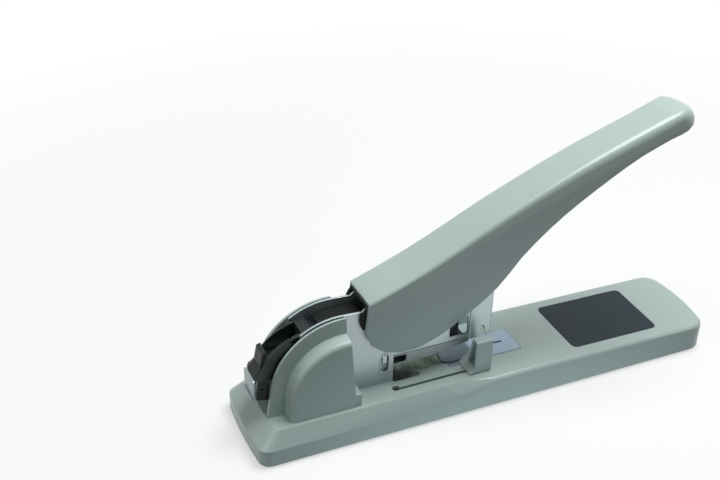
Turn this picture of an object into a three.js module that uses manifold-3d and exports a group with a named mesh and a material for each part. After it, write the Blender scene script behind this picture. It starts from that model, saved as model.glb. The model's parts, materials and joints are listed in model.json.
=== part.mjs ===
// Heavy-duty lever stapler for thick paper stacks, as an assembly of separate pieces.
//
// Units are millimetres, +Z is up. x runs from the loading end of the base (rear) to its free end
// (front), where the paper goes in; y = 0 is the middle plane. The finished group is moved so that
// its origin lies under the middle of the base, on the surface that the stapler stands on.

import * as THREE from 'three';
import { mergeVertices } from 'three/addons/utils/BufferGeometryUtils.js';
import Module from 'manifold-3d';

const wasm = await Module();
wasm.setup();

// ---- Driving dimensions ----------------------------------------------------------------------

const GAP = 0.3; // between pieces that touch
const RUN = 0.4; // beside pieces that move past each other

const BASE_LENGTH = 287.5;
const BASE_WIDTH = 58.6;
const BASE_EDGE_LIFT = 1.0; // the painted shell stays this far above the table
const DECK_HEIGHT = 19.6;
const DECK_FALL = 2.1; // how much lower the deck is at the front end
const DECK_FALL_START = 165;
const SHOULDER_FOOT = 10.9; // height of the side wall under the wide shoulder
const SHOULDER_WIDTH = 5.0;
const SHOULDER_REAR = 9.5; // width of the shoulder across the rear end
const SHOULDER_END = 110; // the side shoulder fades out from here
const SHOULDER_FADE = 28;
const DECK_EDGE_RADIUS = 3.2;
const BASE_CORNER = { rear: 6, front: 11 };
const BOW_REAR = 1.6;
const BOW_FRONT = 4.4;
const BASE_WALL = 2.4;
const DECK_THICKNESS = 2.5;
const RIB_THICKNESS = 1.6;
const RIB_PITCH = 32;
const RIB_LINE = 11.5;
const SOLE_THICKNESS = 1.6;
const BASE_PLATE_THICKNESS = 1.2;
const PLATE_SCREW_INSET = { end: 14.5, side: 10.3 }; // from the base's ends and sides

const CROWN = 13.0; // clear width inside the magazine, for the staple's crown
const MAGAZINE_WALL = 0.8;
const MAGAZINE_REAR = 6.2;
const MAGAZINE_FLOOR = 30.9;
const MAGAZINE_TOP = 55.8;
const FEED_WINDOW = { rear: 85, front: 93.4, bottom: 29.8, top: 34.3 };
const ROD_WINDOW = { rear: 119.6, front: 130.8, bottom: 38.3, top: 50.4 };
const STOP = { rear: 78.3, front: 80.7, bottom: 33, top: 38.1 }; // rides in the slot of the frame
const MOUTH_TOP = 41;
const MOUTH_END = 42.5;
const TRAY_START = 58.4;
const TRAY_FLOOR = 28.7;
const TRAY_RISE_START = 106;
const TRAY_RISE = 3.5;
const SEAM_HEIGHT = 35.4;

const HOUSING_REAR = 132.3;
const HOUSING_LENGTH = 13.7;
const HOUSING_BOTTOM = 33.5;
const HOUSING_TOP = 84;
const HOUSING_WALL = 1.0;

const PLATE_THICKNESS = 1.2; // side plates of the frame
const FRAME_REAR = 30.5;
const FRAME_FRONT = 84.8;
const FRAME_WEB_FRONT = 62;
const FRAME_TOP = 71.6;
const FRAME_SLOT = { rear: 77.3, front: 81.7, bottom: 27.2, top: 38.8, corner: 2, lip: 0.9 };
const FRAME_SCREWS = [[40, 0], [58, 0]];

const ARM_PIVOT = { x: 36, z: 36, radius: 2.2 };
const HANDLE_PIVOT = { x: 76, z: 66, radius: 3 };
const ARM_TURN = 6.64; // degrees, from rest to fully pressed
const HANDLE_TURN = 25;

const COVER_REAR = 10.5;
const COVER_LEAN = 7.9; // how far the rear edge leans forward from the deck to the top
const COVER_FRONT = 55.2;
const COVER_FRONT_LEAN = 2.4; // how far the front edge stands forward at the deck
const COVER_TOP = 71.2;
const COVER_ARC = 39.8;
const COVER_CLEARANCE = 1.2; // between a cover and the frame
const COVER_RIM_FOOT = 3.1; // thickness of the rim at the deck and at the top
const COVER_RIM_TOP = 1.2;
const COVER_WALL = 2.2;
const COVER_FLOOR = 3.4; // thickness of the cover's foot, which takes its screws
const COVER_STEP = { length: 3, height: 7.5 }; // the low toe in front of each cover
const COVER_SCREW_PLACES = [32, 48];
const COVER_SCREW_INSET = 5.9; // from the cover's inner face
const BULGE_REAR = 20;
const BULGE_TOP = 62.2;
const BULGE_ARC = 32.4;
const BULGE_FOOT_WIDTH = 12.2; // from the cover's inner face
const BULGE_TOP_WIDTH = 9.2;
const BULGE_EDGE = 2.6; // radius between the swelling's top and its outer face
const BULGE_LEDGE_FALL = 1.0;
const GUARD_REAR = 42.7; // clear of the drawer's cap when the arm is down
const GUARD_FRONT = 68;
const GUARD_RADIUS = 35.2;
const GUARD_THICKNESS = 1.2;

const HANDLE_WALL = 1.5;
const HANDLE_EDGE = { rear: 1.7, front: 5, from: 90, to: 235 }; // the top edges grow rounder forward
const HANDLE_END_RADIUS = 12.4;
const HANDLE_NOSE_START = 240; // the nose is rounded in plan ahead of this line
const LEVER_WALL = 1.6;
const LEVER_REAR_RADIUS = 12.3;
const LEVER_FRONT = 178;
const LEVER_SPACERS = [[108, 84], [168, 108]];

const CAP_CENTRE = { x: 38.6, z: 32.3 };
const CAP_RADIUS = 32.9;
const CAP_SLOPE = { low: 5.8, middle: [10.8, 47.6], angle: 143 }; // the flat rear face, up to the arc
const CAP_CROWN = [[0, 0], [0.36, 0.7], [0.72, 1.9], [1, 3.8]]; // share of a cheek's width, and its fall
const CAP_RECESS = 4.9; // half the width between the cheeks
const CAP_STEP = 26.3; // the cap is wide behind this line and fits between the plates ahead of it
const CAP_FRONT = 38.5;

const ROD_HEIGHT = 48.2;
const ROD_RADIUS = 2.1;
const ROD_FRONT = 126;
const ROD_HEAD = { radius: 4.2, length: 4 };
const PUSHER_LENGTH = 11.7;
const PUSHER_SPRING = { radius: 3.5, wire: 0.45, pitch: 7.4 };
const RETURN_SPRING = { x: 48, radius: 3.6, wire: 0.6, pitch: 1.65, seatRadius: 2.4, seatHeight: 3.2 };

const PIN_X = 141;
const PIN_Z = 86;
const PIN_RADIUS = 2;
const PIN_FORWARD = 0.6; // how far the driver pin moves forward and back in the carriage
const PIN_BACK = 0.8;
const CARRIAGE_BOTTOM = 72;
const CARRIAGE_TOP = 91;
const BLADE_THICKNESS = 0.9;
const BLADE_TOP = 78;
const BLADE_RIVETS = [[-3.4, 75], [3.4, 75]];

const ANVIL = { rear: 120, front: 166.2, half: 10, lift: 0.2, thickness: 1.7 };
const RACK = { length: 34.4, step: 101.2, wide: 10, narrow: 6, thickness: 1.4, pitch: 1.6, clearance: 0.4 };
const LABEL = { from: 0.239, to: 0.719, width: 41.8, corner: 3, thickness: 0.5 }; // shares of the free deck
const SLOT = { y: -16.8, width: 1.8, rear: 84.6, front: 140.4 };
const GUIDE = { rear: 129.6, front: 139.6, height: 41, near: -21.6, far: -16.4, farLow: -12.4, wall: 1.6 };
const GUIDE_FOOT = { rear: 126.4, height: 3.2, block: 6.2 };
const GUIDE_TRAVEL = 40;
const GUIDE_CLIP = { rear: 127.6, front: 141.6, near: -21, far: -13.2, bottom: 14.6 };
const LEAF = {
  rear: 116.6, skew: 2.6, front: 137.6, nearInset: 0.6, farInset: 1.7, corner: 4, thickness: 0.4,
};
const WASHER = { radius: 6, thickness: 0.5, clearance: 0.2 };

// ---- Derived sizes ---------------------------------------------------------------------------

const HALF_WIDTH = BASE_WIDTH / 2;
const DECK_UNDER = DECK_HEIGHT - DECK_THICKNESS;
const MAGAZINE_INNER = CROWN / 2;
const MAGAZINE_OUTER = MAGAZINE_INNER + MAGAZINE_WALL;
const PLATE_INNER = MAGAZINE_OUTER + RUN;
const PLATE_OUTER = PLATE_INNER + PLATE_THICKNESS;
const HOUSING_FRONT = HOUSING_REAR + HOUSING_LENGTH;
const HOUSING_OUTER = MAGAZINE_OUTER + GAP;
const HOUSING_INNER = HOUSING_OUTER - HOUSING_WALL;
const LEVER_INNER = PLATE_OUTER + WASHER.thickness + WASHER.clearance;
const LEVER_OUTER = LEVER_INNER + LEVER_WALL;
const SHELL_INNER = LEVER_OUTER + GAP;
const HANDLE_HALF = SHELL_INNER + HANDLE_WALL;
const COVER_INNER = PLATE_OUTER + COVER_CLEARANCE;
const BULGE_FOOT_Y = COVER_INNER + BULGE_FOOT_WIDTH;
const BULGE_TOP_Y = COVER_INNER + BULGE_TOP_WIDTH;
const WEB_THICKNESS = PLATE_THICKNESS;
const SOLE_TOP = SOLE_THICKNESS;
const CLIP_TOP = DECK_UNDER - GAP;
const GUIDE_BOTTOM = DECK_HEIGHT + ANVIL.lift + GAP;
const GUIDE_FOOT_END = -HOUSING_OUTER - RUN;
const RACK_REAR = FRAME_FRONT + RACK.clearance;
const RACK_FRONT = RACK_REAR + RACK.length;
const [LABEL_REAR, LABEL_FRONT] = [LABEL.from, LABEL.to].map((share) => (
  THREE.MathUtils.lerp(ANVIL.front, BASE_LENGTH, share)
));
const COVER_SCREWS = [1, -1].flatMap((hand) => (
  COVER_SCREW_PLACES.map((x) => [x, hand * (COVER_INNER + COVER_SCREW_INSET)])
));
const PLATE_SCREWS = [PLATE_SCREW_INSET.end, BASE_LENGTH - PLATE_SCREW_INSET.end].flatMap((x) => (
  [1, -1].map((hand) => [x, hand * (HALF_WIDTH - PLATE_SCREW_INSET.side)])
));
const COVER_TILT = Math.atan(COVER_LEAN / (COVER_TOP - DECK_HEIGHT));
const COVER_ARC_RISE = COVER_TOP - COVER_ARC - DECK_HEIGHT;
const COVER_ARC_CENTRE = {
  x: COVER_REAR + COVER_ARC_RISE * Math.tan(COVER_TILT) + COVER_ARC / Math.cos(COVER_TILT),
  z: COVER_TOP - COVER_ARC,
};
const CAP_LOW = MOUTH_TOP + 0.5;
const CARRIAGE_REAR = HOUSING_REAR + HOUSING_WALL + RUN;
const CARRIAGE_FRONT = HOUSING_FRONT - HOUSING_WALL - RUN;

// How far the driver runs down in its housing while the lever turns through HANDLE_TURN: the driver
// pin's path about the lever's pivot, seen from the arm, which turns through ARM_TURN.
const DRIVER_STROKE = (() => {
  const turn = THREE.MathUtils.degToRad(HANDLE_TURN);
  const tilt = THREE.MathUtils.degToRad(ARM_TURN);
  const reach = PIN_X - HANDLE_PIVOT.x;
  const rise = PIN_Z - HANDLE_PIVOT.z;
  const x = HANDLE_PIVOT.x + reach * Math.cos(turn) + rise * Math.sin(turn) - ARM_PIVOT.x;
  const z = HANDLE_PIVOT.z + rise * Math.cos(turn) - reach * Math.sin(turn) - ARM_PIVOT.z;
  return PIN_Z - ARM_PIVOT.z - (z * Math.cos(tilt) + x * Math.sin(tilt));
})();
const BLADE_BOTTOM = HOUSING_BOTTOM + DRIVER_STROKE + 0.2;

// ---- Solids from three.js geometry -----------------------------------------------------------

const X = new THREE.Vector3(1, 0, 0);
const Y = new THREE.Vector3(0, 1, 0);
const Z = new THREE.Vector3(0, 0, 1);

// A closed geometry as a solid that can be joined and cut.
function solidOf(geometry) {
  const bare = geometry.clone();
  bare.deleteAttribute('normal');
  bare.deleteAttribute('uv');
  const merged = mergeVertices(bare, 1e-4);
  const source = merged.index.array;
  const triangles = [];
  for (let i = 0; i < source.length; i += 3) {
    const [a, b, c] = [source[i], source[i + 1], source[i + 2]];
    if (a !== b && b !== c && c !== a) triangles.push(a, b, c);
  }
  return new wasm.Manifold(new wasm.Mesh({
    numProp: 3,
    vertProperties: new Float32Array(merged.attributes.position.array),
    triVerts: new Uint32Array(triangles),
  }));
}

function geometryOf(solid) {
  const { vertProperties, triVerts } = solid.getMesh();
  const geometry = new THREE.BufferGeometry();
  geometry.setAttribute('position', new THREE.BufferAttribute(vertProperties, 3));
  geometry.setIndex(new THREE.BufferAttribute(triVerts, 1));
  geometry.computeVertexNormals();
  return geometry;
}

function join(...solids) {
  return solids.reduce((sum, solid) => sum.add(solid));
}

function cut(solid, ...tools) {
  return tools.reduce((rest, tool) => rest.subtract(tool), solid);
}

// Corner list to points: each corner is [u, v] or [u, v, radius].
function outline(corners, fixedSteps = 0) {
  const count = corners.length;
  return corners.flatMap(([u, v, radius = 0], i) => {
    const here = new THREE.Vector2(u, v);
    if (radius === 0) return [here];
    const before = new THREE.Vector2(...corners[(i + count - 1) % count]).sub(here).normalize();
    const after = new THREE.Vector2(...corners[(i + 1) % count]).sub(here).normalize();
    const half = Math.acos(before.dot(after)) / 2;
    const centre = before.clone().add(after).normalize().multiplyScalar(radius / Math.sin(half)).add(here);
    const start = before.clone().multiplyScalar(radius / Math.tan(half)).add(here).sub(centre).angle();
    const end = after.clone().multiplyScalar(radius / Math.tan(half)).add(here).sub(centre).angle();
    const sweep = THREE.MathUtils.euclideanModulo(end - start + Math.PI, 2 * Math.PI) - Math.PI;
    const facet = radius > 15 ? 0.1 : radius > 4 ? 0.26 : 0.4;
    const steps = fixedSteps || Math.max(2, Math.ceil(Math.abs(sweep) / facet));
    return arc(centre.x, centre.y, radius, start, start + sweep, steps);
  });
}

function arc(u, v, radius, start, end, steps) {
  return Array.from({ length: steps + 1 }, (_, i) => {
    const angle = start + (end - start) * i / steps;
    return new THREE.Vector2(u + radius * Math.cos(angle), v + radius * Math.sin(angle));
  });
}

function rectangle(u0, u1, v0, v1, radius = 0) {
  return outline([[u0, v0, radius], [u1, v0, radius], [u1, v1, radius], [u0, v1, radius]]);
}

function extrude(points, depth, basis, offset) {
  const geometry = new THREE.ExtrudeGeometry(new THREE.Shape(points), { depth, bevelEnabled: false });
  geometry.applyMatrix4(new THREE.Matrix4().makeBasis(...basis)).translate(...offset);
  return solidOf(geometry);
}

// Slabs: a side outline (x, z) between two y values, a plan outline (x, y) between two heights, and
// a cross outline (y, z) between two x values.
function sideSlab(points, y0, y1) {
  return extrude(points, y1 - y0, [X, Z, Y.clone().negate()], [0, y1, 0]);
}

function planSlab(points, z0, z1) {
  return extrude(points, z1 - z0, [X, Y, Z], [0, 0, z0]);
}

function crossSlab(points, x0, x1) {
  return extrude(points, x1 - x0, [Y, Z, X], [x0, 0, 0]);
}

function box(x0, x1, y0, y1, z0, z1) {
  const geometry = new THREE.BoxGeometry(x1 - x0, y1 - y0, z1 - z0);
  return solidOf(geometry.translate((x0 + x1) / 2, (y0 + y1) / 2, (z0 + z1) / 2));
}

// Two y values on one hand, -1 or 1, of the middle plane, the lower one first.
function span(hand, from, to) {
  return [hand * from, hand * to].sort((a, b) => a - b);
}

// A round bar along y at (x, z), or along x at (y, z), or along z at (x, y).
function bar(axis, at, radius, from, to, sides = 18) {
  const geometry = new THREE.CylinderGeometry(radius, radius, to - from, sides);
  const middle = (from + to) / 2;
  if (axis === 'x') geometry.rotateZ(-Math.PI / 2).translate(middle, at[0], at[1]);
  if (axis === 'y') geometry.translate(at[0], middle, at[1]);
  if (axis === 'z') geometry.rotateX(Math.PI / 2).translate(at[0], at[1], middle);
  return solidOf(geometry);
}

// A skin over rings of points, closed at both ends. capFaces gives the triangles of an end ring.
function loft(rings, capFaces) {
  const count = rings[0].length;
  const positions = rings.flat().flatMap((point) => point.toArray());
  const index = [];
  for (let ring = 0; ring + 1 < rings.length; ring += 1) {
    for (let i = 0; i < count; i += 1) {
      const a = ring * count + i;
      const b = ring * count + (i + 1) % count;
      index.push(a, b, b + count, a, b + count, a + count);
    }
  }
  const last = (rings.length - 1) * count;
  for (const [a, b, c] of capFaces) index.push(a, c, b, last + a, last + b, last + c);
  const geometry = new THREE.BufferGeometry();
  geometry.setAttribute('position', new THREE.Float32BufferAttribute(positions, 3));
  geometry.setIndex(enclosedVolume(positions, index) < 0 ? index.reverse() : index);
  return solidOf(geometry);
}

function enclosedVolume(positions, index) {
  const corner = (i) => new THREE.Vector3().fromArray(positions, 3 * index[i]);
  let volume = 0;
  for (let i = 0; i < index.length; i += 3) {
    volume += corner(i).dot(corner(i + 1).cross(corner(i + 2))) / 6;
  }
  return volume;
}

// A loft through side outlines (x, z), each with its own y, which may change from point to point.
function sideLoft(sections) {
  const rings = sections.map(({ points, y }) => points.map((p) => {
    const across = typeof y === 'function' ? y(p) : y;
    return new THREE.Vector3(p.x, across, p.y);
  }));
  return loft(rings, capOf(sections[sections.length >> 1].points));
}

// Triangles over an outline, wound the same way round as the outline itself.
function capOf(points) {
  const faces = THREE.ShapeUtils.triangulateShape([...points], []);
  const area = (ring) => THREE.ShapeUtils.area(ring);
  const same = area(faces[0].map((i) => points[i])) * area(points) > 0;
  return same ? faces : faces.map((face) => face.toReversed());
}

class Helix extends THREE.Curve {
  constructor(radius, length, turns) {
    super();
    Object.assign(this, { radius, length, turns });
  }

  getPoint(t) {
    const angle = 2 * Math.PI * this.turns * t;
    return new THREE.Vector3(this.radius * Math.cos(angle), this.radius * Math.sin(angle), this.length * t);
  }
}

function coilSpring(radius, wire, length, pitch) {
  const turns = Math.round((length - 2 * wire) / pitch);
  const section = new THREE.Shape(arc(0, 0, wire, 0, 2 * Math.PI, 5).slice(0, -1));
  return new THREE.ExtrudeGeometry(section, {
    steps: Math.round(turns * 7),
    extrudePath: new Helix(radius, length - 2 * wire, turns),
    bevelEnabled: false,
  }).translate(0, 0, wire);
}

// ---- Finishes and nodes ----------------------------------------------------------------------

const FINISHES = {
  paint: { color: 0xa4aea8, roughness: 0.45, metalness: 0 },
  nickel: { color: 0xc3c8cc, roughness: 0.25, metalness: 1 },
  steel: { color: 0x9aa5b0, roughness: 0.35, metalness: 1 },
  blackSteel: { color: 0x23272a, roughness: 0.5, metalness: 0.6 },
  charcoal: { color: 0x2b3133, roughness: 0.55, metalness: 0 },
  slate: { color: 0x2c3338, roughness: 0.5, metalness: 0 },
  guide: { color: 0x7d8b8c, roughness: 0.5, metalness: 0 },
  rubber: { color: 0x1c1d1e, roughness: 0.9, metalness: 0 },
};

function node(name, shape, finish) {
  const geometry = shape.isBufferGeometry ? shape : geometryOf(shape);
  const mesh = new THREE.Mesh(geometry, new THREE.MeshStandardMaterial(FINISHES[finish]));
  mesh.name = name;
  return mesh;
}

// ---- Base ------------------------------------------------------------------------------------

function deckHeight(x) {
  const along = Math.max(0, x - DECK_FALL_START) / (BASE_LENGTH - DECK_FALL_START);
  return DECK_HEIGHT - DECK_FALL * along;
}

// 1 where the side has its wide shoulder, 0 where it has only a rounded edge.
function shoulderShare(x) {
  const along = THREE.MathUtils.clamp((x - SHOULDER_END) / SHOULDER_FADE, 0, 1);
  return Math.cos(along * Math.PI / 2);
}

function wallTop(x) {
  const edge = deckHeight(x) - DECK_EDGE_RADIUS;
  return THREE.MathUtils.lerp(edge, SHOULDER_FOOT, shoulderShare(x));
}

// How far the surface has come in at a share of the way from wall top to deck.
function shoulderInset(x, rise) {
  const rounded = DECK_EDGE_RADIUS * (1 - Math.sqrt(1 - rise * rise));
  return THREE.MathUtils.lerp(rounded, SHOULDER_WIDTH * rise, shoulderShare(x));
}

// Half of the base's plan outline, from the middle of the rear end round to the middle of the
// front end, drawn in from the outside by the given insets.
function halfPlan(insetRear, insetSide, insetFront, insetCorner) {
  const rearCorner = BASE_CORNER.rear - insetCorner;
  const frontCorner = BASE_CORNER.front - insetCorner;
  const fade = Array.from({ length: 6 }, (_, i) => SHOULDER_END + SHOULDER_FADE * i / 5);
  const ahead = [0, 0.5, 1].map((s) => THREE.MathUtils.lerp(DECK_FALL_START, BASE_LENGTH - 42.5, s));
  const stations = [30, 75, ...fade, ...ahead];
  const rearY = HALF_WIDTH - insetSide(0) - rearCorner;
  const frontY = HALF_WIDTH - insetSide(BASE_LENGTH) - frontCorner;
  const rearX = (y) => insetRear + BOW_REAR * (y / HALF_WIDTH) ** 2;
  const frontX = (y) => BASE_LENGTH - insetFront - BOW_FRONT * (y / HALF_WIDTH) ** 2;
  const share = [0, 0.3, 0.6, 0.85];
  return [
    ...share.map((s) => new THREE.Vector2(rearX(s * rearY), s * rearY)),
    ...arc(rearX(rearY) + rearCorner, rearY, rearCorner, Math.PI, Math.PI / 2, 4),
    ...stations.map((x) => new THREE.Vector2(x, HALF_WIDTH - insetSide(x))),
    ...arc(frontX(frontY) - frontCorner, frontY, frontCorner, Math.PI / 2, 0, 6),
    ...share.toReversed().map((s) => new THREE.Vector2(frontX(s * frontY), s * frontY)),
  ];
}

function mirrored(half) {
  const other = half.slice(1, -1).reverse().map((p) => new THREE.Vector2(p.x, -p.y));
  return [...half, ...other];
}

function ringAt(half, height) {
  return mirrored(half).map((p) => new THREE.Vector3(p.x, p.y, height(p.x)));
}

// Strips across an outline that is symmetric about y = 0.
function stripCap(count) {
  const faces = [];
  for (let i = 0; i < count / 2; i += 1) {
    const [a, b] = [i, i + 1];
    const [c, d] = [(count - i - 1) % count, (count - i) % count];
    if (b !== c) faces.push([a, b, c]);
    if (a !== d) faces.push([a, c, d]);
  }
  return faces;
}

function baseOuter() {
  const foot = halfPlan(0, () => 0, 0, 0);
  const rings = [ringAt(foot, () => BASE_EDGE_LIFT)];
  for (const rise of [0, 0.5, 0.85, 1]) {
    const front = DECK_EDGE_RADIUS * (1 - Math.sqrt(1 - rise * rise));
    const half = halfPlan(SHOULDER_REAR * rise, (x) => shoulderInset(x, rise), front, 2 * rise);
    rings.push(ringAt(half, (x) => THREE.MathUtils.lerp(wallTop(x), deckHeight(x), rise)));
  }
  return loft(rings, stripCap(rings[0].length));
}

function baseCavity() {
  const low = halfPlan(BASE_WALL, () => BASE_WALL, BASE_WALL, BASE_WALL);
  const high = halfPlan(
    BASE_WALL + SHOULDER_REAR,
    (x) => BASE_WALL + shoulderInset(x, 1),
    BASE_WALL + DECK_EDGE_RADIUS,
    BASE_WALL,
  );
  return loft([
    ringAt(low, () => BASE_EDGE_LIFT - 1),
    ringAt(low, (x) => wallTop(x) - DECK_THICKNESS),
    ringAt(high, (x) => deckHeight(x) - DECK_THICKNESS),
  ], stripCap(2 * low.length - 2));
}

function baseRibs() {
  const bottom = SOLE_TOP + BASE_PLATE_THICKNESS + GAP;
  const half = RIB_THICKNESS / 2;
  const cross = [];
  for (let x = RIB_PITCH; x < BASE_LENGTH - RIB_PITCH / 2; x += RIB_PITCH) {
    cross.push(box(x - half, x + half, -HALF_WIDTH + 1, HALF_WIDTH - 1, bottom, DECK_HEIGHT - 1));
  }
  const lines = [-RIB_LINE, RIB_LINE].map((y) => box(
    SHOULDER_REAR, BASE_LENGTH - SHOULDER_REAR, y - half, y + half, bottom, DECK_HEIGHT - 1,
  ));
  const clipPath = box(
    GUIDE_CLIP.rear - GUIDE_TRAVEL - 2, GUIDE_CLIP.front + 2,
    -HALF_WIDTH, -RIB_LINE - half, GUIDE_CLIP.bottom - 1, DECK_UNDER,
  );
  const holes = [...FRAME_SCREWS, ...COVER_SCREWS].map(([x, y]) => bar('z', [x, y], 4.4, 8, DECK_UNDER));
  return cut(join(...cross, ...lines), clipPath, ...holes);
}

function deckSlot() {
  const half = SLOT.width / 2;
  const run = planSlab(rectangle(SLOT.rear, SLOT.front, SLOT.y - half, SLOT.y + half, half * 0.99), 0, 30);
  const keyhole = planSlab(rectangle(81.6, 85.8, -17.7, -13.9, 1.4), 0, 30);
  return join(run, keyhole);
}

function rackOutline(grow) {
  const { step, wide, narrow } = RACK;
  const [rear, front] = [RACK_REAR, RACK_FRONT];
  return outline([
    [rear - grow, -wide - grow], [step + grow, -wide - grow], [step + grow, -narrow - grow],
    [front + grow, -narrow - grow], [front + grow, narrow + grow], [step + grow, narrow + grow],
    [step + grow, wide + grow], [rear - grow, wide + grow],
  ]);
}

function labelPlace(shape) {
  const tilt = Math.atan(DECK_FALL / (BASE_LENGTH - DECK_FALL_START));
  const turn = new THREE.Matrix4().makeRotationY(tilt);
  const x = (LABEL_REAR + LABEL_FRONT) / 2;
  turn.setPosition(x, 0, deckHeight(x));
  return shape.applyMatrix4(turn);
}

function labelSlab(grow, bottom, top) {
  const [length, width] = [(LABEL_FRONT - LABEL_REAR) / 2 + grow, LABEL.width / 2 + grow];
  const points = rectangle(-length, length, -width, width, LABEL.corner + grow);
  const outer = new THREE.Shape(points);
  const shape = new THREE.ExtrudeGeometry(outer, { depth: top - bottom, bevelEnabled: false });
  return labelPlace(shape.translate(0, 0, bottom));
}

function baseShell() {
  const anvilPocket = planSlab(
    rectangle(ANVIL.rear - GAP, ANVIL.front + GAP, -ANVIL.half - GAP, ANVIL.half + GAP, 1),
    DECK_HEIGHT + ANVIL.lift - ANVIL.thickness - GAP, 30,
  );
  const rackPocket = planSlab(rackOutline(GAP), DECK_HEIGHT - RACK.thickness - GAP, 30);
  const labelPocket = solidOf(labelSlab(GAP, -LABEL.thickness, 5));
  const screws = [...FRAME_SCREWS, ...COVER_SCREWS].map(([x, y]) => bar('z', [x, y], 2.3, 0, 30, 14));
  const bossFoot = SOLE_TOP + BASE_PLATE_THICKNESS + GAP;
  const bosses = PLATE_SCREWS.map((at) => bar('z', at, 3.6, bossFoot, deckHeight(at[0]) - 1, 16));
  const bossHoles = PLATE_SCREWS.map(([x, y]) => bar('z', [x, y], 1.7, 0, 9, 12));
  const body = join(cut(baseOuter(), baseCavity()), baseRibs().intersect(baseOuter()), ...bosses);
  return cut(body, anvilPocket, rackPocket, labelPocket, deckSlot(), ...screws, ...bossHoles);
}

function solePlan() {
  const inset = BASE_WALL + GAP;
  return mirrored(halfPlan(inset, () => inset, inset, BASE_WALL));
}

function basePlate() {
  const plate = planSlab(solePlan(), SOLE_TOP, SOLE_TOP + BASE_PLATE_THICKNESS);
  return cut(plate, ...PLATE_SCREWS.map(([x, y]) => bar('z', [x, y], 1.7, 0, 9, 12)));
}

function plateScrew(at) {
  return bar('z', at, 1.4, SOLE_TOP + GAP, SOLE_TOP + BASE_PLATE_THICKNESS + 5, 12);
}

// The anvil has two short clinching troughs under the driver and a slit for its fixing tab.
function anvilPlate() {
  const top = DECK_HEIGHT + ANVIL.lift;
  const plate = planSlab(
    rectangle(ANVIL.rear, ANVIL.front, -ANVIL.half, ANVIL.half, 0.8), top - ANVIL.thickness, top,
  );
  const troughs = [-1, 1].map((hand) => {
    const trough = new THREE.SphereGeometry(1, 12, 8).scale(1.1, 3.1, 0.9);
    return solidOf(trough.translate(HOUSING_FRONT - 1.6, hand * (MAGAZINE_INNER - 3), top));
  });
  const slit = planSlab(rectangle(152.4, 158.6, -0.6, 0.6), 10, 30);
  return cut(plate, ...troughs, slit);
}

function guideRack() {
  const top = DECK_HEIGHT;
  const bottom = top - RACK.thickness;
  const teeth = (from, to) => {
    const points = [[from, bottom], [to, bottom]];
    const count = Math.floor((to - from) / RACK.pitch);
    for (let i = count - 1; i >= 0; i -= 1) {
      const x = from + i * RACK.pitch;
      points.push([x + RACK.pitch, top - 0.7], [x + RACK.pitch * 0.7, top], [x + RACK.pitch * 0.3, top]);
    }
    points.push([from, top - 0.7]);
    return outline(points);
  };
  const wide = sideSlab(teeth(RACK_REAR, RACK.step), -RACK.wide, RACK.wide);
  const narrow = sideSlab(teeth(RACK.step - RACK.pitch, RACK_FRONT), -RACK.narrow, RACK.narrow);
  return join(wide, narrow);
}

// ---- Frame and covers ------------------------------------------------------------------------

function slotOutline(grow) {
  const { rear, front, bottom, top, corner } = FRAME_SLOT;
  return rectangle(rear - grow, front + grow, bottom - grow, top + grow, corner + grow);
}

function frame() {
  const { x: arcX, z: arcZ } = COVER_ARC_CENTRE;
  const arcRadius = FRAME_TOP - arcZ;
  const arcEnd = Math.acos((FRAME_REAR - arcX) / arcRadius);
  const ear = FRAME_FRONT - HANDLE_PIVOT.x;
  const plate = [
    ...outline([
      [FRAME_REAR, DECK_HEIGHT], [FRAME_FRONT, DECK_HEIGHT], [FRAME_FRONT, HANDLE_PIVOT.z + ear, ear],
      [HANDLE_PIVOT.x - 5, HANDLE_PIVOT.z + ear, 4], [HANDLE_PIVOT.x - 10, FRAME_TOP, 4],
    ]),
    ...arc(arcX, arcZ, arcRadius, Math.PI / 2, arcEnd, 6),
  ];
  const sides = [-1, 1].map((hand) => {
    const sheet = sideSlab(plate, ...span(hand, PLATE_INNER, PLATE_OUTER));
    const lip = sideSlab(slotOutline(FRAME_SLOT.lip), ...span(hand, PLATE_OUTER - 0.4, PLATE_OUTER + 0.4));
    const body = join(sheet, lip);
    return cut(
      body,
      sideSlab(slotOutline(0), -20, 20),
      bar('y', [HANDLE_PIVOT.x, HANDLE_PIVOT.z], HANDLE_PIVOT.radius + GAP, -20, 20),
      bar('y', [ARM_PIVOT.x, ARM_PIVOT.z], ARM_PIVOT.radius + GAP, -20, 20),
    );
  });
  const web = box(
    FRAME_REAR, FRAME_WEB_FRONT, -PLATE_INNER - 0.1, PLATE_INNER + 0.1,
    DECK_HEIGHT, DECK_HEIGHT + WEB_THICKNESS,
  );
  const holes = FRAME_SCREWS.map(([x, y]) => bar('z', [x, y], 2.3, 10, 30, 14));
  return cut(join(...sides, web), ...holes);
}

// A screw that comes up through the deck from below.
function deckScrew(at, head, shank, top) {
  return join(
    bar('z', at, head, DECK_UNDER - 2.2, DECK_UNDER, 16),
    bar('z', at, shank, DECK_UNDER - 1, top, 12),
  );
}

// The curved black sheet between the side plates, which closes the gap behind the lever.
function topGuard() {
  const { x, z } = COVER_ARC_CENTRE;
  const start = Math.PI / 2 + Math.asin((x - GUARD_REAR) / GUARD_RADIUS);
  const inner = GUARD_RADIUS - GUARD_THICKNESS;
  const points = [
    new THREE.Vector2(GUARD_FRONT, z + GUARD_RADIUS), ...arc(x, z, GUARD_RADIUS, Math.PI / 2, start, 5),
    ...arc(x, z, inner, start, Math.PI / 2, 5), new THREE.Vector2(GUARD_FRONT, z + inner),
  ];
  return cut(
    sideSlab(points, -PLATE_INNER + GAP, PLATE_INNER - GAP),
    bar('y', [HANDLE_PIVOT.x, HANDLE_PIVOT.z], HANDLE_PIVOT.radius + 1, -20, 20),
  );
}

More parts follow.
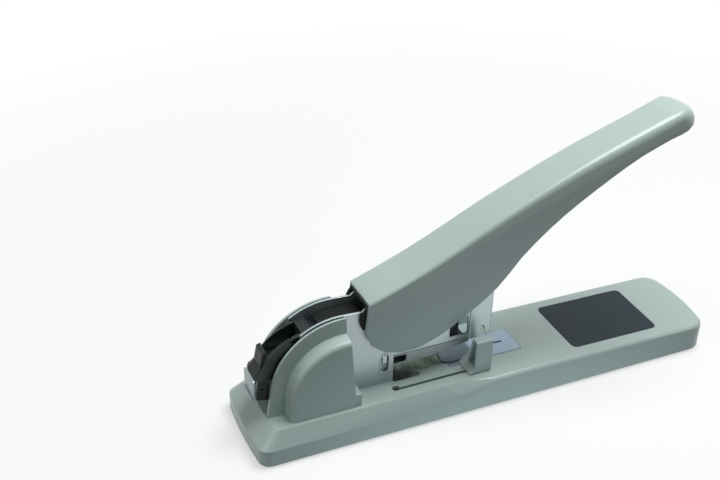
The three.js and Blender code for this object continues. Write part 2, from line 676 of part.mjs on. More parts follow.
// A cover's side outline: the rear edge leans forward by lean into the large round corner.
function coverOutline(rear, lean, front, top, radius, steps) {
  return outline([
    [rear, DECK_HEIGHT], [front + COVER_FRONT_LEAN, DECK_HEIGHT], [front, top], [rear + lean, top, radius],
  ], steps);
}

// The swelling on the outside of a cover: a ledge that falls gently outward, a rounded edge and a
// flat face with draft. It is drawn in by wall when it is the hollow.
function coverBulge(hand, wall) {
  const face = (z) => THREE.MathUtils.mapLinear(z, DECK_HEIGHT, BULGE_TOP, BULGE_FOOT_Y, BULGE_TOP_Y) - wall;
  const section = (inset, y) => ({
    points: coverOutline(
      BULGE_REAR + wall + inset, 0, COVER_FRONT - wall,
      BULGE_TOP - wall - inset, BULGE_ARC - wall - inset, 12,
    ),
    y,
  });
  const edge = Math.max(0.6, BULGE_EDGE - wall);
  const root = wall ? COVER_INNER - 1 : COVER_INNER + 1;
  const sections = [section(0, hand * root)];
  for (const angle of [0, 0.4, 0.8, 1.2, Math.PI / 2]) {
    const inset = BULGE_LEDGE_FALL + edge * (1 - Math.cos(angle));
    sections.push(section(inset, (p) => hand * (face(p.y) - edge * (1 - Math.sin(angle)))));
  }
  return sideLoft(sections);
}

function sideCover(hand) {
  const points = coverOutline(COVER_REAR, COVER_LEAN, COVER_FRONT, COVER_TOP, COVER_ARC, 18);
  const thickness = (z) => (
    THREE.MathUtils.mapLinear(z, DECK_HEIGHT, COVER_TOP, COVER_RIM_FOOT, COVER_RIM_TOP)
  );
  const rim = sideLoft([
    { points, y: hand * COVER_INNER },
    { points, y: (p) => hand * (COVER_INNER + thickness(p.y)) },
  ]);
  const toeRear = COVER_FRONT + COVER_FRONT_LEAN;
  const toe = box(
    toeRear - 1.5, toeRear + COVER_STEP.length, ...span(hand, COVER_INNER + GAP, BULGE_FOOT_Y - 0.6),
    DECK_HEIGHT, DECK_HEIGHT + COVER_STEP.height,
  );
  const floor = box(BULGE_REAR, COVER_FRONT, -40, 40, DECK_HEIGHT, DECK_HEIGHT + COVER_FLOOR);
  const hollow = cut(coverBulge(hand, COVER_WALL), floor);
  const holes = COVER_SCREWS.map(([x, y]) => bar('z', [x, y], 1.8, 0, DECK_HEIGHT + COVER_FLOOR, 12));
  return cut(join(rim, coverBulge(hand, 0), toe), hollow, ...holes);
}

function armPivotRivet(hand) {
  const at = [ARM_PIVOT.x, ARM_PIVOT.z];
  return join(
    bar('y', at, ARM_PIVOT.radius, ...span(hand, MAGAZINE_INNER + 0.05, PLATE_OUTER + 1), 16),
    bar('y', at, ARM_PIVOT.radius + 1.6, ...span(hand, PLATE_OUTER, PLATE_OUTER + 1.2), 16),
  );
}

function pivotWasher(hand) {
  const at = [HANDLE_PIVOT.x, HANDLE_PIVOT.z];
  return cut(
    bar('y', at, WASHER.radius, ...span(hand, PLATE_OUTER, PLATE_OUTER + WASHER.thickness)),
    bar('y', at, HANDLE_PIVOT.radius + GAP, -20, 20),
  );
}

// ---- Magazine arm ----------------------------------------------------------------------------

function feedWindow() {
  const { rear, front, bottom, top } = FEED_WINDOW;
  return sideSlab(rectangle(rear, front, bottom, top, 0.6), -20, 0);
}

function magazineChannel() {
  const side = outline([
    [MAGAZINE_REAR, MAGAZINE_FLOOR], [TRAY_START - 0.4, MAGAZINE_FLOOR],
    [TRAY_START - 0.4, SEAM_HEIGHT + 0.2], [HOUSING_REAR - GAP, SEAM_HEIGHT + 0.2],
    [HOUSING_REAR - GAP, MAGAZINE_TOP],
    [MOUTH_END, MAGAZINE_TOP, 3], [MOUTH_END, MOUTH_TOP, 0.6], [MAGAZINE_REAR, MOUTH_TOP, 2],
  ]);
  const inside = box(
    0, 150, -MAGAZINE_INNER, MAGAZINE_INNER,
    MAGAZINE_FLOOR + MAGAZINE_WALL, MAGAZINE_TOP - MAGAZINE_WALL,
  );
  const rodWindow = sideSlab(
    rectangle(ROD_WINDOW.rear, ROD_WINDOW.front, ROD_WINDOW.bottom, ROD_WINDOW.top, 1), -20, 0,
  );
  const stops = [-1, 1].map((hand) => join(
    box(STOP.rear, STOP.front, ...span(hand, MAGAZINE_OUTER - 0.1, PLATE_OUTER), SEAM_HEIGHT + 0.2, STOP.top),
    box(STOP.rear, STOP.front, ...span(hand, MAGAZINE_OUTER + GAP, PLATE_OUTER), STOP.bottom, STOP.top),
  ));
  return cut(
    join(cut(sideSlab(side, -MAGAZINE_OUTER, MAGAZINE_OUTER), inside), ...stops),
    bar('y', [ARM_PIVOT.x, ARM_PIVOT.z], ARM_PIVOT.radius + GAP, -20, 20),
    rodWindow,
  );
}

function stapleTray() {
  const front = HOUSING_REAR - GAP;
  const floor = (lift) => [
    [TRAY_START, TRAY_FLOOR + lift], [TRAY_RISE_START, TRAY_FLOOR + lift],
    [front, TRAY_FLOOR + TRAY_RISE + lift],
  ];
  const top = SEAM_HEIGHT - 0.2;
  const side = (lift) => outline([...floor(lift), [front, top], [TRAY_START, top]]);
  const outer = sideSlab(side(0), -MAGAZINE_OUTER, MAGAZINE_OUTER);
  const inner = sideSlab(side(MAGAZINE_WALL), -MAGAZINE_INNER, MAGAZINE_INNER);
  const tongue = join(
    box(TRAY_START - 6, TRAY_START + 2, -5, 5, MAGAZINE_FLOOR - 1, MAGAZINE_FLOOR - GAP),
    box(TRAY_START, TRAY_START + 1, -MAGAZINE_OUTER, MAGAZINE_OUTER, TRAY_FLOOR, MAGAZINE_FLOOR - GAP),
  );
  return join(cut(outer, inner, feedWindow()), tongue);
}

function driverHousing() {
  const tube = planSlab(
    rectangle(HOUSING_REAR, HOUSING_FRONT, -HOUSING_OUTER, HOUSING_OUTER, 1), HOUSING_BOTTOM, HOUSING_TOP,
  );
  const inside = box(
    HOUSING_REAR + HOUSING_WALL, HOUSING_FRONT - HOUSING_WALL, -HOUSING_INNER, HOUSING_INNER, 0, 100,
  );
  const feed = box(HOUSING_REAR - 1, HOUSING_REAR + 2, -HOUSING_INNER, HOUSING_INNER, 0, MAGAZINE_TOP + GAP);
  const notch = sideSlab(outline([
    [140.6, HOUSING_BOTTOM - 1], [143.2, HOUSING_BOTTOM - 1], [142, HOUSING_BOTTOM + 4],
    [141.2, HOUSING_BOTTOM + 7.8, 0.8], [138.6, HOUSING_BOTTOM + 7.8, 0.8], [138.6, HOUSING_BOTTOM + 6, 0.4],
    [140, HOUSING_BOTTOM + 4],
  ]), -20, 0);
  const low = PIN_Z - DRIVER_STROKE - PIN_RADIUS - RUN;
  const pinPath = box(
    PIN_X - PIN_BACK - PIN_RADIUS - RUN, PIN_X + PIN_FORWARD + PIN_RADIUS + RUN, -20, 20, low, 100,
  );
  return cut(tube, inside, feed, notch, pinPath);
}

// ---- Driver ----------------------------------------------------------------------------------

function driverCarriage() {
  const half = HOUSING_INNER - RUN;
  const block = box(CARRIAGE_REAR, CARRIAGE_FRONT, -half, half, CARRIAGE_BOTTOM, CARRIAGE_TOP);
  const bladeSeat = box(CARRIAGE_FRONT - BLADE_THICKNESS, 200, -20, 20, 0, BLADE_TOP + GAP);
  const slot = sideSlab(rectangle(
    PIN_X - PIN_BACK - PIN_RADIUS - RUN, PIN_X + PIN_FORWARD + PIN_RADIUS + GAP,
    PIN_Z - PIN_RADIUS - RUN, PIN_Z + PIN_RADIUS + RUN, 2,
  ), -20, 20);
  const lightening = box(CARRIAGE_REAR + 2, CARRIAGE_FRONT - 3, -20, 20, CARRIAGE_BOTTOM + 2, PIN_Z - 6);
  const holes = BLADE_RIVETS.map((at) => bar('x', at, 1.3, 120, 160, 12));
  return cut(block, bladeSeat, slot, lightening, ...holes);
}

function driverBlade() {
  const blade = crossSlab(outline([
    [-MAGAZINE_INNER + 0.2, BLADE_BOTTOM, 0.4], [MAGAZINE_INNER - 0.2, BLADE_BOTTOM, 0.4],
    [MAGAZINE_INNER - 0.2, BLADE_TOP, 1], [-MAGAZINE_INNER + 0.2, BLADE_TOP, 1],
  ]), CARRIAGE_FRONT - BLADE_THICKNESS + 0.05, CARRIAGE_FRONT);
  return cut(blade, ...BLADE_RIVETS.map((at) => bar('x', at, 1.3, 120, 160, 12)));
}

function bladeRivet(at) {
  return bar('x', at, 1, CARRIAGE_REAR + 1, CARRIAGE_FRONT, 12);
}

// ---- Loading drawer and pusher ---------------------------------------------------------------

// Side outline of the cap between two x values: flat below, round on top, drawn in from above by
// inset. The wide part ends in a sloping rear face.
function capOutline(from, to, inset, steps) {
  const { x, z } = CAP_CENTRE;
  const radius = CAP_RADIUS - inset;
  const start = Math.acos((to - x) / radius);
  const slope = from === null;
  const end = slope ? THREE.MathUtils.degToRad(CAP_SLOPE.angle) : Math.acos((from - x) / radius);
  const [middleX, middleZ] = CAP_SLOPE.middle;
  const rear = slope
    ? [new THREE.Vector2(middleX + inset, middleZ), new THREE.Vector2(CAP_SLOPE.low + inset * 0.4, CAP_LOW)]
    : [new THREE.Vector2(from, CAP_LOW)];
  return [new THREE.Vector2(to, CAP_LOW), ...arc(x, z, radius, start, end, steps), ...rear];
}

// Two cheeks and a middle block with a finger tab. Ahead of the step it fits between the plates.
function drawerCap() {
  const low = CAP_LOW;
  const wideHalf = PLATE_OUTER - 0.1;
  const narrowHalf = PLATE_INNER - RUN;
  const crown = CAP_CROWN.map(([out, fall]) => ({
    points: capOutline(null, CAP_STEP, fall, 10),
    y: THREE.MathUtils.lerp(CAP_RECESS, wideHalf, out),
  }));
  const wide = sideLoft([...crown.map(({ points, y }) => ({ points, y: -y })).reverse(), ...crown]);
  const narrow = sideSlab(capOutline(CAP_STEP - 1, CAP_FRONT, 0.3, 5), -narrowHalf, narrowHalf);
  const rear = CAP_SLOPE.low;
  const skirts = [-1, 1].map((hand) => sideSlab(outline([
    [rear, 30, 1], [rear + 7, 28.4, 1], [rear + 7, low + 1], [rear + 1.6, low + 1],
  ]), ...span(hand, MAGAZINE_OUTER + GAP, wideHalf)));
  const middle = sideSlab(outline([
    [rear, low], [14, low], [14, 54], [13.4, 56.8, 0.8], [11, 56, 0.8], [9.6, 48.4, 0.8], [9.9, 46.6],
  ]), GAP - CAP_RECESS, CAP_RECESS - GAP);
  const recess = sideSlab(outline([
    [14, 80], [14, 50, 2], [32.4, 50, 2], [32.4, 80],
  ]), -CAP_RECESS, CAP_RECESS);
  const bevelNotch = box(CAP_STEP - 0.6, CAP_STEP + 0.6, -20, 20, 61.9, 80);
  const hole = bar('y', [9, 36.8], 1.1, -20, 20, 12);
  const rodHole = bar('x', [0, ROD_HEIGHT], ROD_RADIUS + GAP, 12, 60, 16);
  const gaps = [-1, 1].map((hand) => (
    box(0, 13, ...span(hand, CAP_RECESS - GAP, CAP_RECESS), low - 1, 80)
  ));
  const above = box(0, 14.1, -CAP_RECESS, CAP_RECESS, low + 1.2, 80);
  return cut(
    join(cut(join(wide, narrow), recess, above, ...gaps), middle, ...skirts),
    bevelNotch, hole, rodHole,
  );
}

function drawerEndPlate() {
  const x = MAGAZINE_REAR - GAP;
  const plate = crossSlab(rectangle(-MAGAZINE_OUTER, MAGAZINE_OUTER, 29, MOUTH_TOP + 0.2, 1.2), x - 1.2, x);
  const lip = box(x - 2.2, x - 0.6, -MAGAZINE_OUTER + 1, MAGAZINE_OUTER - 1, 29, 30.2);
  return join(plate, lip);
}

function guideRod() {
  const at = [0, ROD_HEIGHT];
  return join(
    bar('x', at, ROD_RADIUS, 12.4, ROD_FRONT + 1, 16),
    bar('x', at, ROD_HEAD.radius, ROD_FRONT, ROD_FRONT + ROD_HEAD.length, 20),
  );
}

// The block has two legs that push the staples' legs and a bore that slides on the rod.
function pusherBlock() {
  const half = MAGAZINE_INNER - 0.3;
  const front = ROD_FRONT - GAP;
  const body = box(front - PUSHER_LENGTH, front, -half, half, 36.4, MAGAZINE_TOP - MAGAZINE_WALL - 0.6);
  const between = box(front - PUSHER_LENGTH - 1, front + 1, -3.4, 3.4, 30, 42.4);
  const bore = bar('x', [0, ROD_HEIGHT], ROD_RADIUS + GAP, 0, 200, 16);
  return cut(body, between, bore);
}

function pusherSpring() {
  const start = CAP_FRONT + GAP;
  const end = ROD_FRONT - GAP - PUSHER_LENGTH - GAP;
  const { radius, wire, pitch } = PUSHER_SPRING;
  const coil = coilSpring(radius, wire, end - start, pitch);
  return coil.rotateY(Math.PI / 2).translate(start, 0, ROD_HEIGHT);
}

function returnSpring() {
  const bottom = DECK_HEIGHT + WEB_THICKNESS + GAP;
  const length = MAGAZINE_FLOOR - GAP - bottom;
  const { x, radius, wire, pitch } = RETURN_SPRING;
  return coilSpring(radius, wire, length, pitch).translate(x, 0, bottom);
}

function springSeat() {
  const bottom = DECK_HEIGHT + WEB_THICKNESS;
  const { x, seatRadius, seatHeight } = RETURN_SPRING;
  return bar('z', [x, 0], seatRadius, bottom, bottom + seatHeight, 16);
}

// ---- Lever -----------------------------------------------------------------------------------

const HANDLE_TOP = new THREE.SplineCurve([
  [67.4, 77.4], [90, 86], [112, 96], [146, 113.2], [188, 132], [217, 143], [245, 152.8], [255, 155.7],
].map((p) => new THREE.Vector2(...p)));
const HANDLE_NOSE = new THREE.SplineCurve([
  [255, 155.7], [261.7, 153.8], [265.3, 148.7], [264.6, 143.9], [258.5, 142.6],
].map((p) => new THREE.Vector2(...p)));
const HANDLE_UNDER = new THREE.SplineCurve([
  [258.5, 142.6], [243, 139.4], [226.5, 133.2], [202.9, 120], [179.7, 104.8], [160, 87.8],
  [151.2, 77.2], [141.3, 66.6], [122.2, 52.9], [104.6, 43.6], [90, 40.8], [75.5, 45], [68.3, 52],
  [65.8, 60.5],
].map((p) => new THREE.Vector2(...p)));

// Points along a curve, moved inward by a distance that depends on x and on the share of the way.
function offsetPoints(curve, count, distance, skipFirst) {
  const points = [];
  for (let i = skipFirst ? 1 : 0; i <= count; i += 1) {
    const tangent = curve.getTangentAt(i / count);
    const inward = new THREE.Vector2(tangent.y, -tangent.x);
    const point = curve.getPointAt(i / count);
    points.push(point.addScaledVector(inward, distance(point.x, i / count)));
  }
  return points;
}

// Radius between the lever's top and sides, for a surface that lies wall deep inside the shell.
function handleEdge(x, wall) {
  const along = THREE.MathUtils.clamp((x - HANDLE_EDGE.from) / (HANDLE_EDGE.to - HANDLE_EDGE.from), 0, 1);
  return Math.max(0.4, THREE.MathUtils.lerp(HANDLE_EDGE.rear, HANDLE_EDGE.front, along) - wall);
}

// The lever's side outline, drawn in by inset(x) along top and nose and by insetUnder below. The
// rear end is moved out by reach.
function handleSection(inset, insetUnder, reach) {
  const tipInset = inset(HANDLE_EDGE.to);
  const [noseFrom, noseTo] = insetUnder < 0 ? [Math.min(tipInset, 3), HANDLE_WALL] : [tipInset, insetUnder];
  const top = offsetPoints(HANDLE_TOP, 18, inset, false);
  const noseInset = (x, share) => THREE.MathUtils.lerp(noseFrom, noseTo, share);
  const nose = offsetPoints(HANDLE_NOSE, 6, noseInset, true);
  const under = offsetPoints(HANDLE_UNDER, 22, () => insetUnder, true);
  const rearTop = new THREE.Vector2(top[0].x - reach, top[0].y);
  const last = under.at(-1);
  const rearLow = new THREE.Vector2(last.x - reach, last.y);
  return reach ? [rearTop, ...top, ...nose, ...under, rearLow] : [...top, ...nose, ...under];
}

// A body with the lever's outline: round along the top edges and round in plan at the nose.
function handleBody(wall, insetUnder, reach) {
  const half = HANDLE_HALF - wall;
  const noseStart = HANDLE_NOSE_START;
  const tip = HANDLE_NOSE.points[2].x;
  const end = HANDLE_END_RADIUS - wall;
  const across = (x, angle) => half - handleEdge(x, wall) * (1 - Math.sin(angle));
  const ring = (angle, hand) => {
    const inset = (x) => wall + handleEdge(x, wall) * (1 - Math.cos(angle));
    const overhang = Math.max(0, across(tip, angle) - (half - end)) / end;
    const pull = end * (1 - Math.sqrt(1 - Math.min(1, overhang) ** 2 * 0.9));
    const share = (tip - pull - noseStart) / (tip - noseStart);
    const points = handleSection(inset, insetUnder, reach).map((p) => (
      p.x > noseStart ? new THREE.Vector2(noseStart + (p.x - noseStart) * share, p.y) : p
    ));
    return { points, y: (p) => hand * across(p.x, angle) };
  };
  const angles = wall > 0 ? [Math.PI / 2, 0.75, 0] : [Math.PI / 2, 1.1, 0.7, 0.35, 0];
  return sideLoft([
    ...angles.map((angle) => ring(angle, -1)),
    ...angles.toReversed().map((angle) => ring(angle, 1)),
  ]);
}

function handleShell() {
  return cut(handleBody(0, 0, 0), handleBody(HANDLE_WALL, -12, 14));
}

// A steel channel inside the shell, with a round rear end about the pivot.
function innerLever() {
  const wall = HANDLE_WALL + GAP;
  const blank = handleBody(wall, 1.8, 6);
  const channel = handleBody(wall + LEVER_WALL, -12, 20);
  const at = [HANDLE_PIVOT.x, HANDLE_PIVOT.z];
  const keep = join(
    bar('y', at, LEVER_REAR_RADIUS, -20, 20, 36),
    box(HANDLE_PIVOT.x, LEVER_FRONT, -20, 20, 0, 200),
  );
  return cut(
    blank.intersect(keep), channel,
    bar('y', at, HANDLE_PIVOT.radius + GAP, -20, 20),
    bar('y', [PIN_X, PIN_Z], PIN_RADIUS + GAP, -20, 20),
  );
}

// A pin across the lever, from side to side of the steel channel inside it.
function leverPin(x, z, radius) {
  return bar('y', [x, z], radius, -LEVER_OUTER + GAP, LEVER_OUTER - GAP);
}

function leverSpacer(at) {
  return cut(bar('y', at, 3, -LEVER_INNER, LEVER_INNER), bar('y', at, 1.8, -20, 20, 14));
}

// ---- Paper guide -----------------------------------------------------------------------------

function guideUpright(inset, x0, x1) {
  const { near, far, farLow, height } = GUIDE;
  const low = GUIDE_BOTTOM + (inset ? GUIDE_FOOT.height : 0);
  return crossSlab(outline([
    [near + inset, low], [farLow - inset, low], [farLow - inset, low + 4],
    [far - inset, height - inset, 1], [near + inset, height - inset, 1],
  ]), x0, x1);
}

// A hollow upright that is open at the rear, on a foot with a ramp and a block beside the leaf, and
// a tongue that runs in the slot of the deck.
function paperGuide() {
  const { rear, front, near, farLow, wall } = GUIDE;
  const foot = GUIDE_BOTTOM;
  const upright = guideUpright(0, rear, front);
  const hollow = guideUpright(wall, rear - 1, front - wall);
  const ramp = sideSlab(outline([
    [GUIDE_FOOT.rear, foot], [rear + 1, foot], [rear + 1, foot + GUIDE_FOOT.height],
    [rear, foot + GUIDE_FOOT.height],
  ]), near, GUIDE_FOOT_END);
  const block = sideSlab(outline([
    [rear, foot], [front, foot], [front, foot + GUIDE_FOOT.block, 0.8],
    [rear + 2.4, foot + GUIDE_FOOT.block, 1.5], [rear, foot + GUIDE_FOOT.height],
  ]), farLow - 0.5, GUIDE_FOOT_END);
  const half = SLOT.width / 2 - GAP;
  const tongue = box(
    rear + 0.4, front - 0.4, SLOT.y - half, SLOT.y + half, GUIDE_CLIP.bottom - 0.6, foot + 1,
  );
  return join(cut(upright, hollow), ramp, block, tongue);
}

// A spring strip that runs under the arm and clicks over the rack.
function detentLeaf() {
  const { rear, skew, front, corner, thickness } = LEAF;
  const near = LEAF.nearInset - PLATE_INNER;
  const far = PLATE_INNER - LEAF.farInset;
  const strip = outline([[rear, near, corner], [front, near, 1], [front, far, 1], [rear + skew, far, 1]]);
  return planSlab(strip, GUIDE_BOTTOM, GUIDE_BOTTOM + thickness);
}

function guideClip() {
  const { rear, front, near, far, bottom } = GUIDE_CLIP;
  const half = SLOT.width / 2;
  const hole = box(GUIDE.rear + 0.1, GUIDE.front - 0.1, SLOT.y - half, SLOT.y + half, 0, 30);
  return cut(planSlab(rectangle(rear, front, near, far, 1), bottom, CLIP_TOP), hole);
}

// ---- Assembly --------------------------------------------------------------------------------

function buildBase() {
  const group = new THREE.Group();
  group.add(
    node('base_shell', baseShell(), 'paint'),
    node('base_plate', basePlate(), 'steel'),
    ...PLATE_SCREWS.map((at, i) => node(`base_plate_screw_${i + 1}`, plateScrew(at), 'steel')),
    node('rubber_sole', planSlab(solePlan(), 0, SOLE_TOP), 'rubber'),
    node('anvil_plate', anvilPlate(), 'steel'),
    node('guide_rack', guideRack(), 'blackSteel'),
    node('label_plate', labelSlab(0, -LABEL.thickness + 0.05, 0), 'slate'),
    node('frame', frame(), 'nickel'),
    ...FRAME_SCREWS.map((at, i) => (
      node(`frame_screw_${i + 1}`, deckScrew(at, 4, 2, DECK_HEIGHT + WEB_THICKNESS), 'steel')
    )),
    ...COVER_SCREWS.map((at, i) => (
      node(`cover_screw_${i + 1}`, deckScrew(at, 3.4, 1.5, DECK_HEIGHT + 3), 'steel')
    )),
    node('top_guard', topGuard(), 'blackSteel'),
    node('side_cover_left', sideCover(1), 'paint'),
    node('side_cover_right', sideCover(-1), 'paint'),
    node('arm_pivot_rivet_left', armPivotRivet(1), 'steel'),
    node('arm_pivot_rivet_right', armPivotRivet(-1), 'steel'),
    node('handle_pivot_pin', leverPin(HANDLE_PIVOT.x, HANDLE_PIVOT.z, HANDLE_PIVOT.radius), 'steel'),
    node('pivot_washer_left', pivotWasher(1), 'charcoal'),
    node('pivot_washer_right', pivotWasher(-1), 'charcoal'),
    node('spring_seat', springSeat(), 'steel'),
    node('return_spring', returnSpring(), 'steel'),
  );
  return group;
}

function buildArm() {
  const group = new THREE.Group();
  group.add(
    node('magazine_channel', magazineChannel(), 'nickel'),
    node('staple_tray', stapleTray(), 'nickel'),
    node('driver_housing', driverHousing(), 'nickel'),
    node('driver_carriage', driverCarriage(), 'steel'),
    node('driver_blade', driverBlade(), 'steel'),
    ...BLADE_RIVETS.map((at, i) => node(`blade_rivet_${i + 1}`, bladeRivet(at), 'steel')),
    node('drawer_cap', drawerCap(), 'charcoal'),
    node('drawer_end_plate', drawerEndPlate(), 'nickel'),
    node('guide_rod', guideRod(), 'steel'),
    node('pusher_block', pusherBlock(), 'charcoal'),
    node('pusher_spring', pusherSpring(), 'steel'),
  );
  return group;
}

function buildLever() {
  const group = new THREE.Group();
  group.add(
    node('handle_shell', handleShell(), 'paint'),
    node('inner_lever', innerLever(), 'blackSteel'),
    ...LEVER_SPACERS.map((at, i) => node(`lever_spacer_${i + 1}`, leverSpacer(at), 'steel')),
    node('driver_pin', leverPin(PIN_X, PIN_Z, PIN_RADIUS), 'steel'),
  );
  return group;
}

function buildPaperGuide() {
  const group = new THREE.Group();
  group.add(
    node('paper_guide', paperGuide(), 'guide'),
    node('detent_leaf', detentLeaf(), 'steel'),
    node('guide_clip', guideClip(), 'charcoal'),
  );
  return group;
}

const stapler = new THREE.Group();
stapler.add(buildBase(), buildArm(), buildLever(), buildPaperGuide());
stapler.position.x = -BASE_LENGTH / 2;

export default stapler;
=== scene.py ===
"""Looks for a heavy-duty lever stapler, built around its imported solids."""

import json
import math

import bpy
from mathutils import Matrix, Vector


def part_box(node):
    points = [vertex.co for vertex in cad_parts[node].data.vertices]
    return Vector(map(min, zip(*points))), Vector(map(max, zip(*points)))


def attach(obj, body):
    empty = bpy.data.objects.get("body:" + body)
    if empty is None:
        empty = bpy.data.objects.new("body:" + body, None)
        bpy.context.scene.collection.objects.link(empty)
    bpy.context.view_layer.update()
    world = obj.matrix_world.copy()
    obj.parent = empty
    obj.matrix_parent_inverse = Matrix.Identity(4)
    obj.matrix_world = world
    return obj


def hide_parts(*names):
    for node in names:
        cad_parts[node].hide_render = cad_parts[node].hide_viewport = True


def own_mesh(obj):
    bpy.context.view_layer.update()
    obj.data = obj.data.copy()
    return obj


bl_info = {
    "name": "Heavy-Duty Stapler",
    "version": (1, 0, 0),
    "blender": (4, 5, 0),
    "location": "View3D > Sidebar > Stapler",
    "description": "Finishes the solids of a heavy-duty lever stapler and sets up its studio",
    "category": "Object",
}

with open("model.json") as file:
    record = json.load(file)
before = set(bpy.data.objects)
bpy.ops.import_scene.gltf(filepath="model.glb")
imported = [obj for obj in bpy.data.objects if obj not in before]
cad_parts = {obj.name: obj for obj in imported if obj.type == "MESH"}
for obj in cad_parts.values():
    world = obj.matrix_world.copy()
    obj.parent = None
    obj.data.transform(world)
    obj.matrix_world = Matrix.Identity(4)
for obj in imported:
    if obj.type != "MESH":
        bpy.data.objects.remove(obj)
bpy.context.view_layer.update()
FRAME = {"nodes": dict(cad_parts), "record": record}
MM = 0.001

# Corners of a solid that are closer than WELD are merged, and faces that meet at less than FLAT become one.
WELD = 0.002 * MM
FLAT = math.radians(0.4)

# A face is taken to face along an axis when its normal reaches this far along it.
FACING = 0.9

# A spring's wire has so many sides, so many steps in one turn, and so many closed turns at each end.
WIRE_SIDES = 12
WIRE_STEPS = 28
CLOSED_TURNS = 1.0


# Selecting and editing


def select_only(*objects):
    bpy.ops.object.select_all(action="DESELECT")
    for piece in objects:
        piece.select_set(True)
    bpy.context.view_layer.objects.active = objects[0] if objects else None


def start_edit(piece, select=None):
    """Enters edit mode on a piece with the faces that select accepts selected."""
    select_only(piece)
    bpy.ops.object.mode_set(mode="EDIT")
    bpy.ops.mesh.select_mode(type="FACE")
    bpy.ops.mesh.select_all(action="DESELECT")
    bpy.ops.object.mode_set(mode="OBJECT")
    for face in piece.data.polygons:
        face.select = select is None or select(face)
    bpy.ops.object.mode_set(mode="EDIT")


def end_edit():
    bpy.ops.object.mode_set(mode="OBJECT")


def apply_modifier(piece, name, kind, **settings):
    select_only(piece)
    modifier = piece.modifiers.new(name, kind)
    for key, value in settings.items():
        setattr(modifier, key, value)
    bpy.ops.object.modifier_apply(modifier=modifier.name)


def settle(piece):
    """Puts the place of a piece in its mesh, as a CAD node has it."""
    select_only(piece)
    bpy.ops.object.transform_apply(location=True, rotation=True, scale=True)


def round_edges(piece, width, segments=2, limit=32.0):
    apply_modifier(
        piece, "Rounded edges", "BEVEL",
        width=width, segments=segments, limit_method="ANGLE",
        angle_limit=math.radians(limit), use_clamp_overlap=True, miter_outer="MITER_ARC",
    )


def smooth(piece, angle=38.0, even=True):
    """Smooth shading up to an angle. Even keeps broad flat faces flat beside their rounded edges."""
    select_only(piece)
    bpy.ops.object.shade_smooth_by_angle(angle=math.radians(angle))
    if even:
        apply_modifier(piece, "Even shading", "WEIGHTED_NORMAL", keep_sharp=True, weight=80)


def dress(piece, body, material):
    piece.data.materials.clear()
    piece.data.materials.append(material)
    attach(piece, body)


def body_of(node):
    for body, nodes in FRAME["record"]["behaviour"]["bodies"].items():
        if node in nodes:
            return body
    raise RuntimeError(f"{node} is on no body")


def finished_copy(node, name, material, width, segments=2, limit=32.0, even=True, shape=None):
    """A copy of a solid with merged faces and rounded edges, which stands for it."""
    source = FRAME["nodes"][node]
    piece = source.copy()
    piece.data = source.data.copy()
    piece.name = piece.data.name = name
    piece.parent = None
    piece.matrix_world = Matrix()
    bpy.context.scene.collection.objects.link(piece)
    start_edit(piece)
    bpy.ops.mesh.remove_doubles(threshold=WELD)
    bpy.ops.mesh.dissolve_limited(angle_limit=FLAT)
    end_edit()
    if shape:
        shape(piece)
    if width:
        round_edges(piece, width, segments, limit)
    smooth(piece, even=even)
    dress(piece, body_of(node), material)
    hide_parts(node)
    return piece


def crown_nose(piece):
    """Crowns the flat front of the lever, so that its nose is round in plan."""
    nose = bpy.context.scene.stapler_lever
    tip = max(vertex.co.x for vertex in piece.data.vertices)
    start_edit(piece)
    for quarter in range(-3, 4):
        bpy.ops.mesh.select_all(action="SELECT")
        bpy.ops.mesh.bisect(plane_co=(0, quarter / 4 * nose.flat, 0), plane_no=(0, 1, 0))
    end_edit()
    for vertex in piece.data.vertices:
        ahead = (vertex.co.x - tip) / nose.length + 1
        across = vertex.co.y / nose.flat
        if ahead > 0 and abs(across) < 1:
            vertex.co.x += nose.crown * ahead * (1 - across * across)


def close_ends(piece):
    """Fills the open ends of a swept wire and turns its faces outward."""
    start_edit(piece)
    bpy.ops.mesh.select_all(action="SELECT")
    bpy.ops.mesh.fill_holes(sides=0)
    bpy.ops.mesh.select_all(action="SELECT")
    bpy.ops.mesh.normals_make_consistent(inside=False)
    end_edit()


def sweep(name, sides, size, radius, turns, height, steps):
    """A bar whose section has so many sides, swept along a helix that stands on the origin. Size is the
    radius of the section, height the rise of all turns together, and steps are counted in one turn."""
    bpy.ops.object.select_all(action="DESELECT")
    bpy.ops.mesh.primitive_circle_add(
        vertices=sides, radius=size, location=(radius, 0, 0), rotation=(math.pi / 2, 0, 0),
    )
    piece = bpy.context.object
    piece.name = piece.data.name = name
    settle(piece)
    apply_modifier(
        piece, "Turns", "SCREW", axis="Z", angle=2 * math.pi * turns, screw_offset=height,
        steps=round(steps * turns), render_steps=round(steps * turns), use_merge_vertices=False,
    )
    return piece


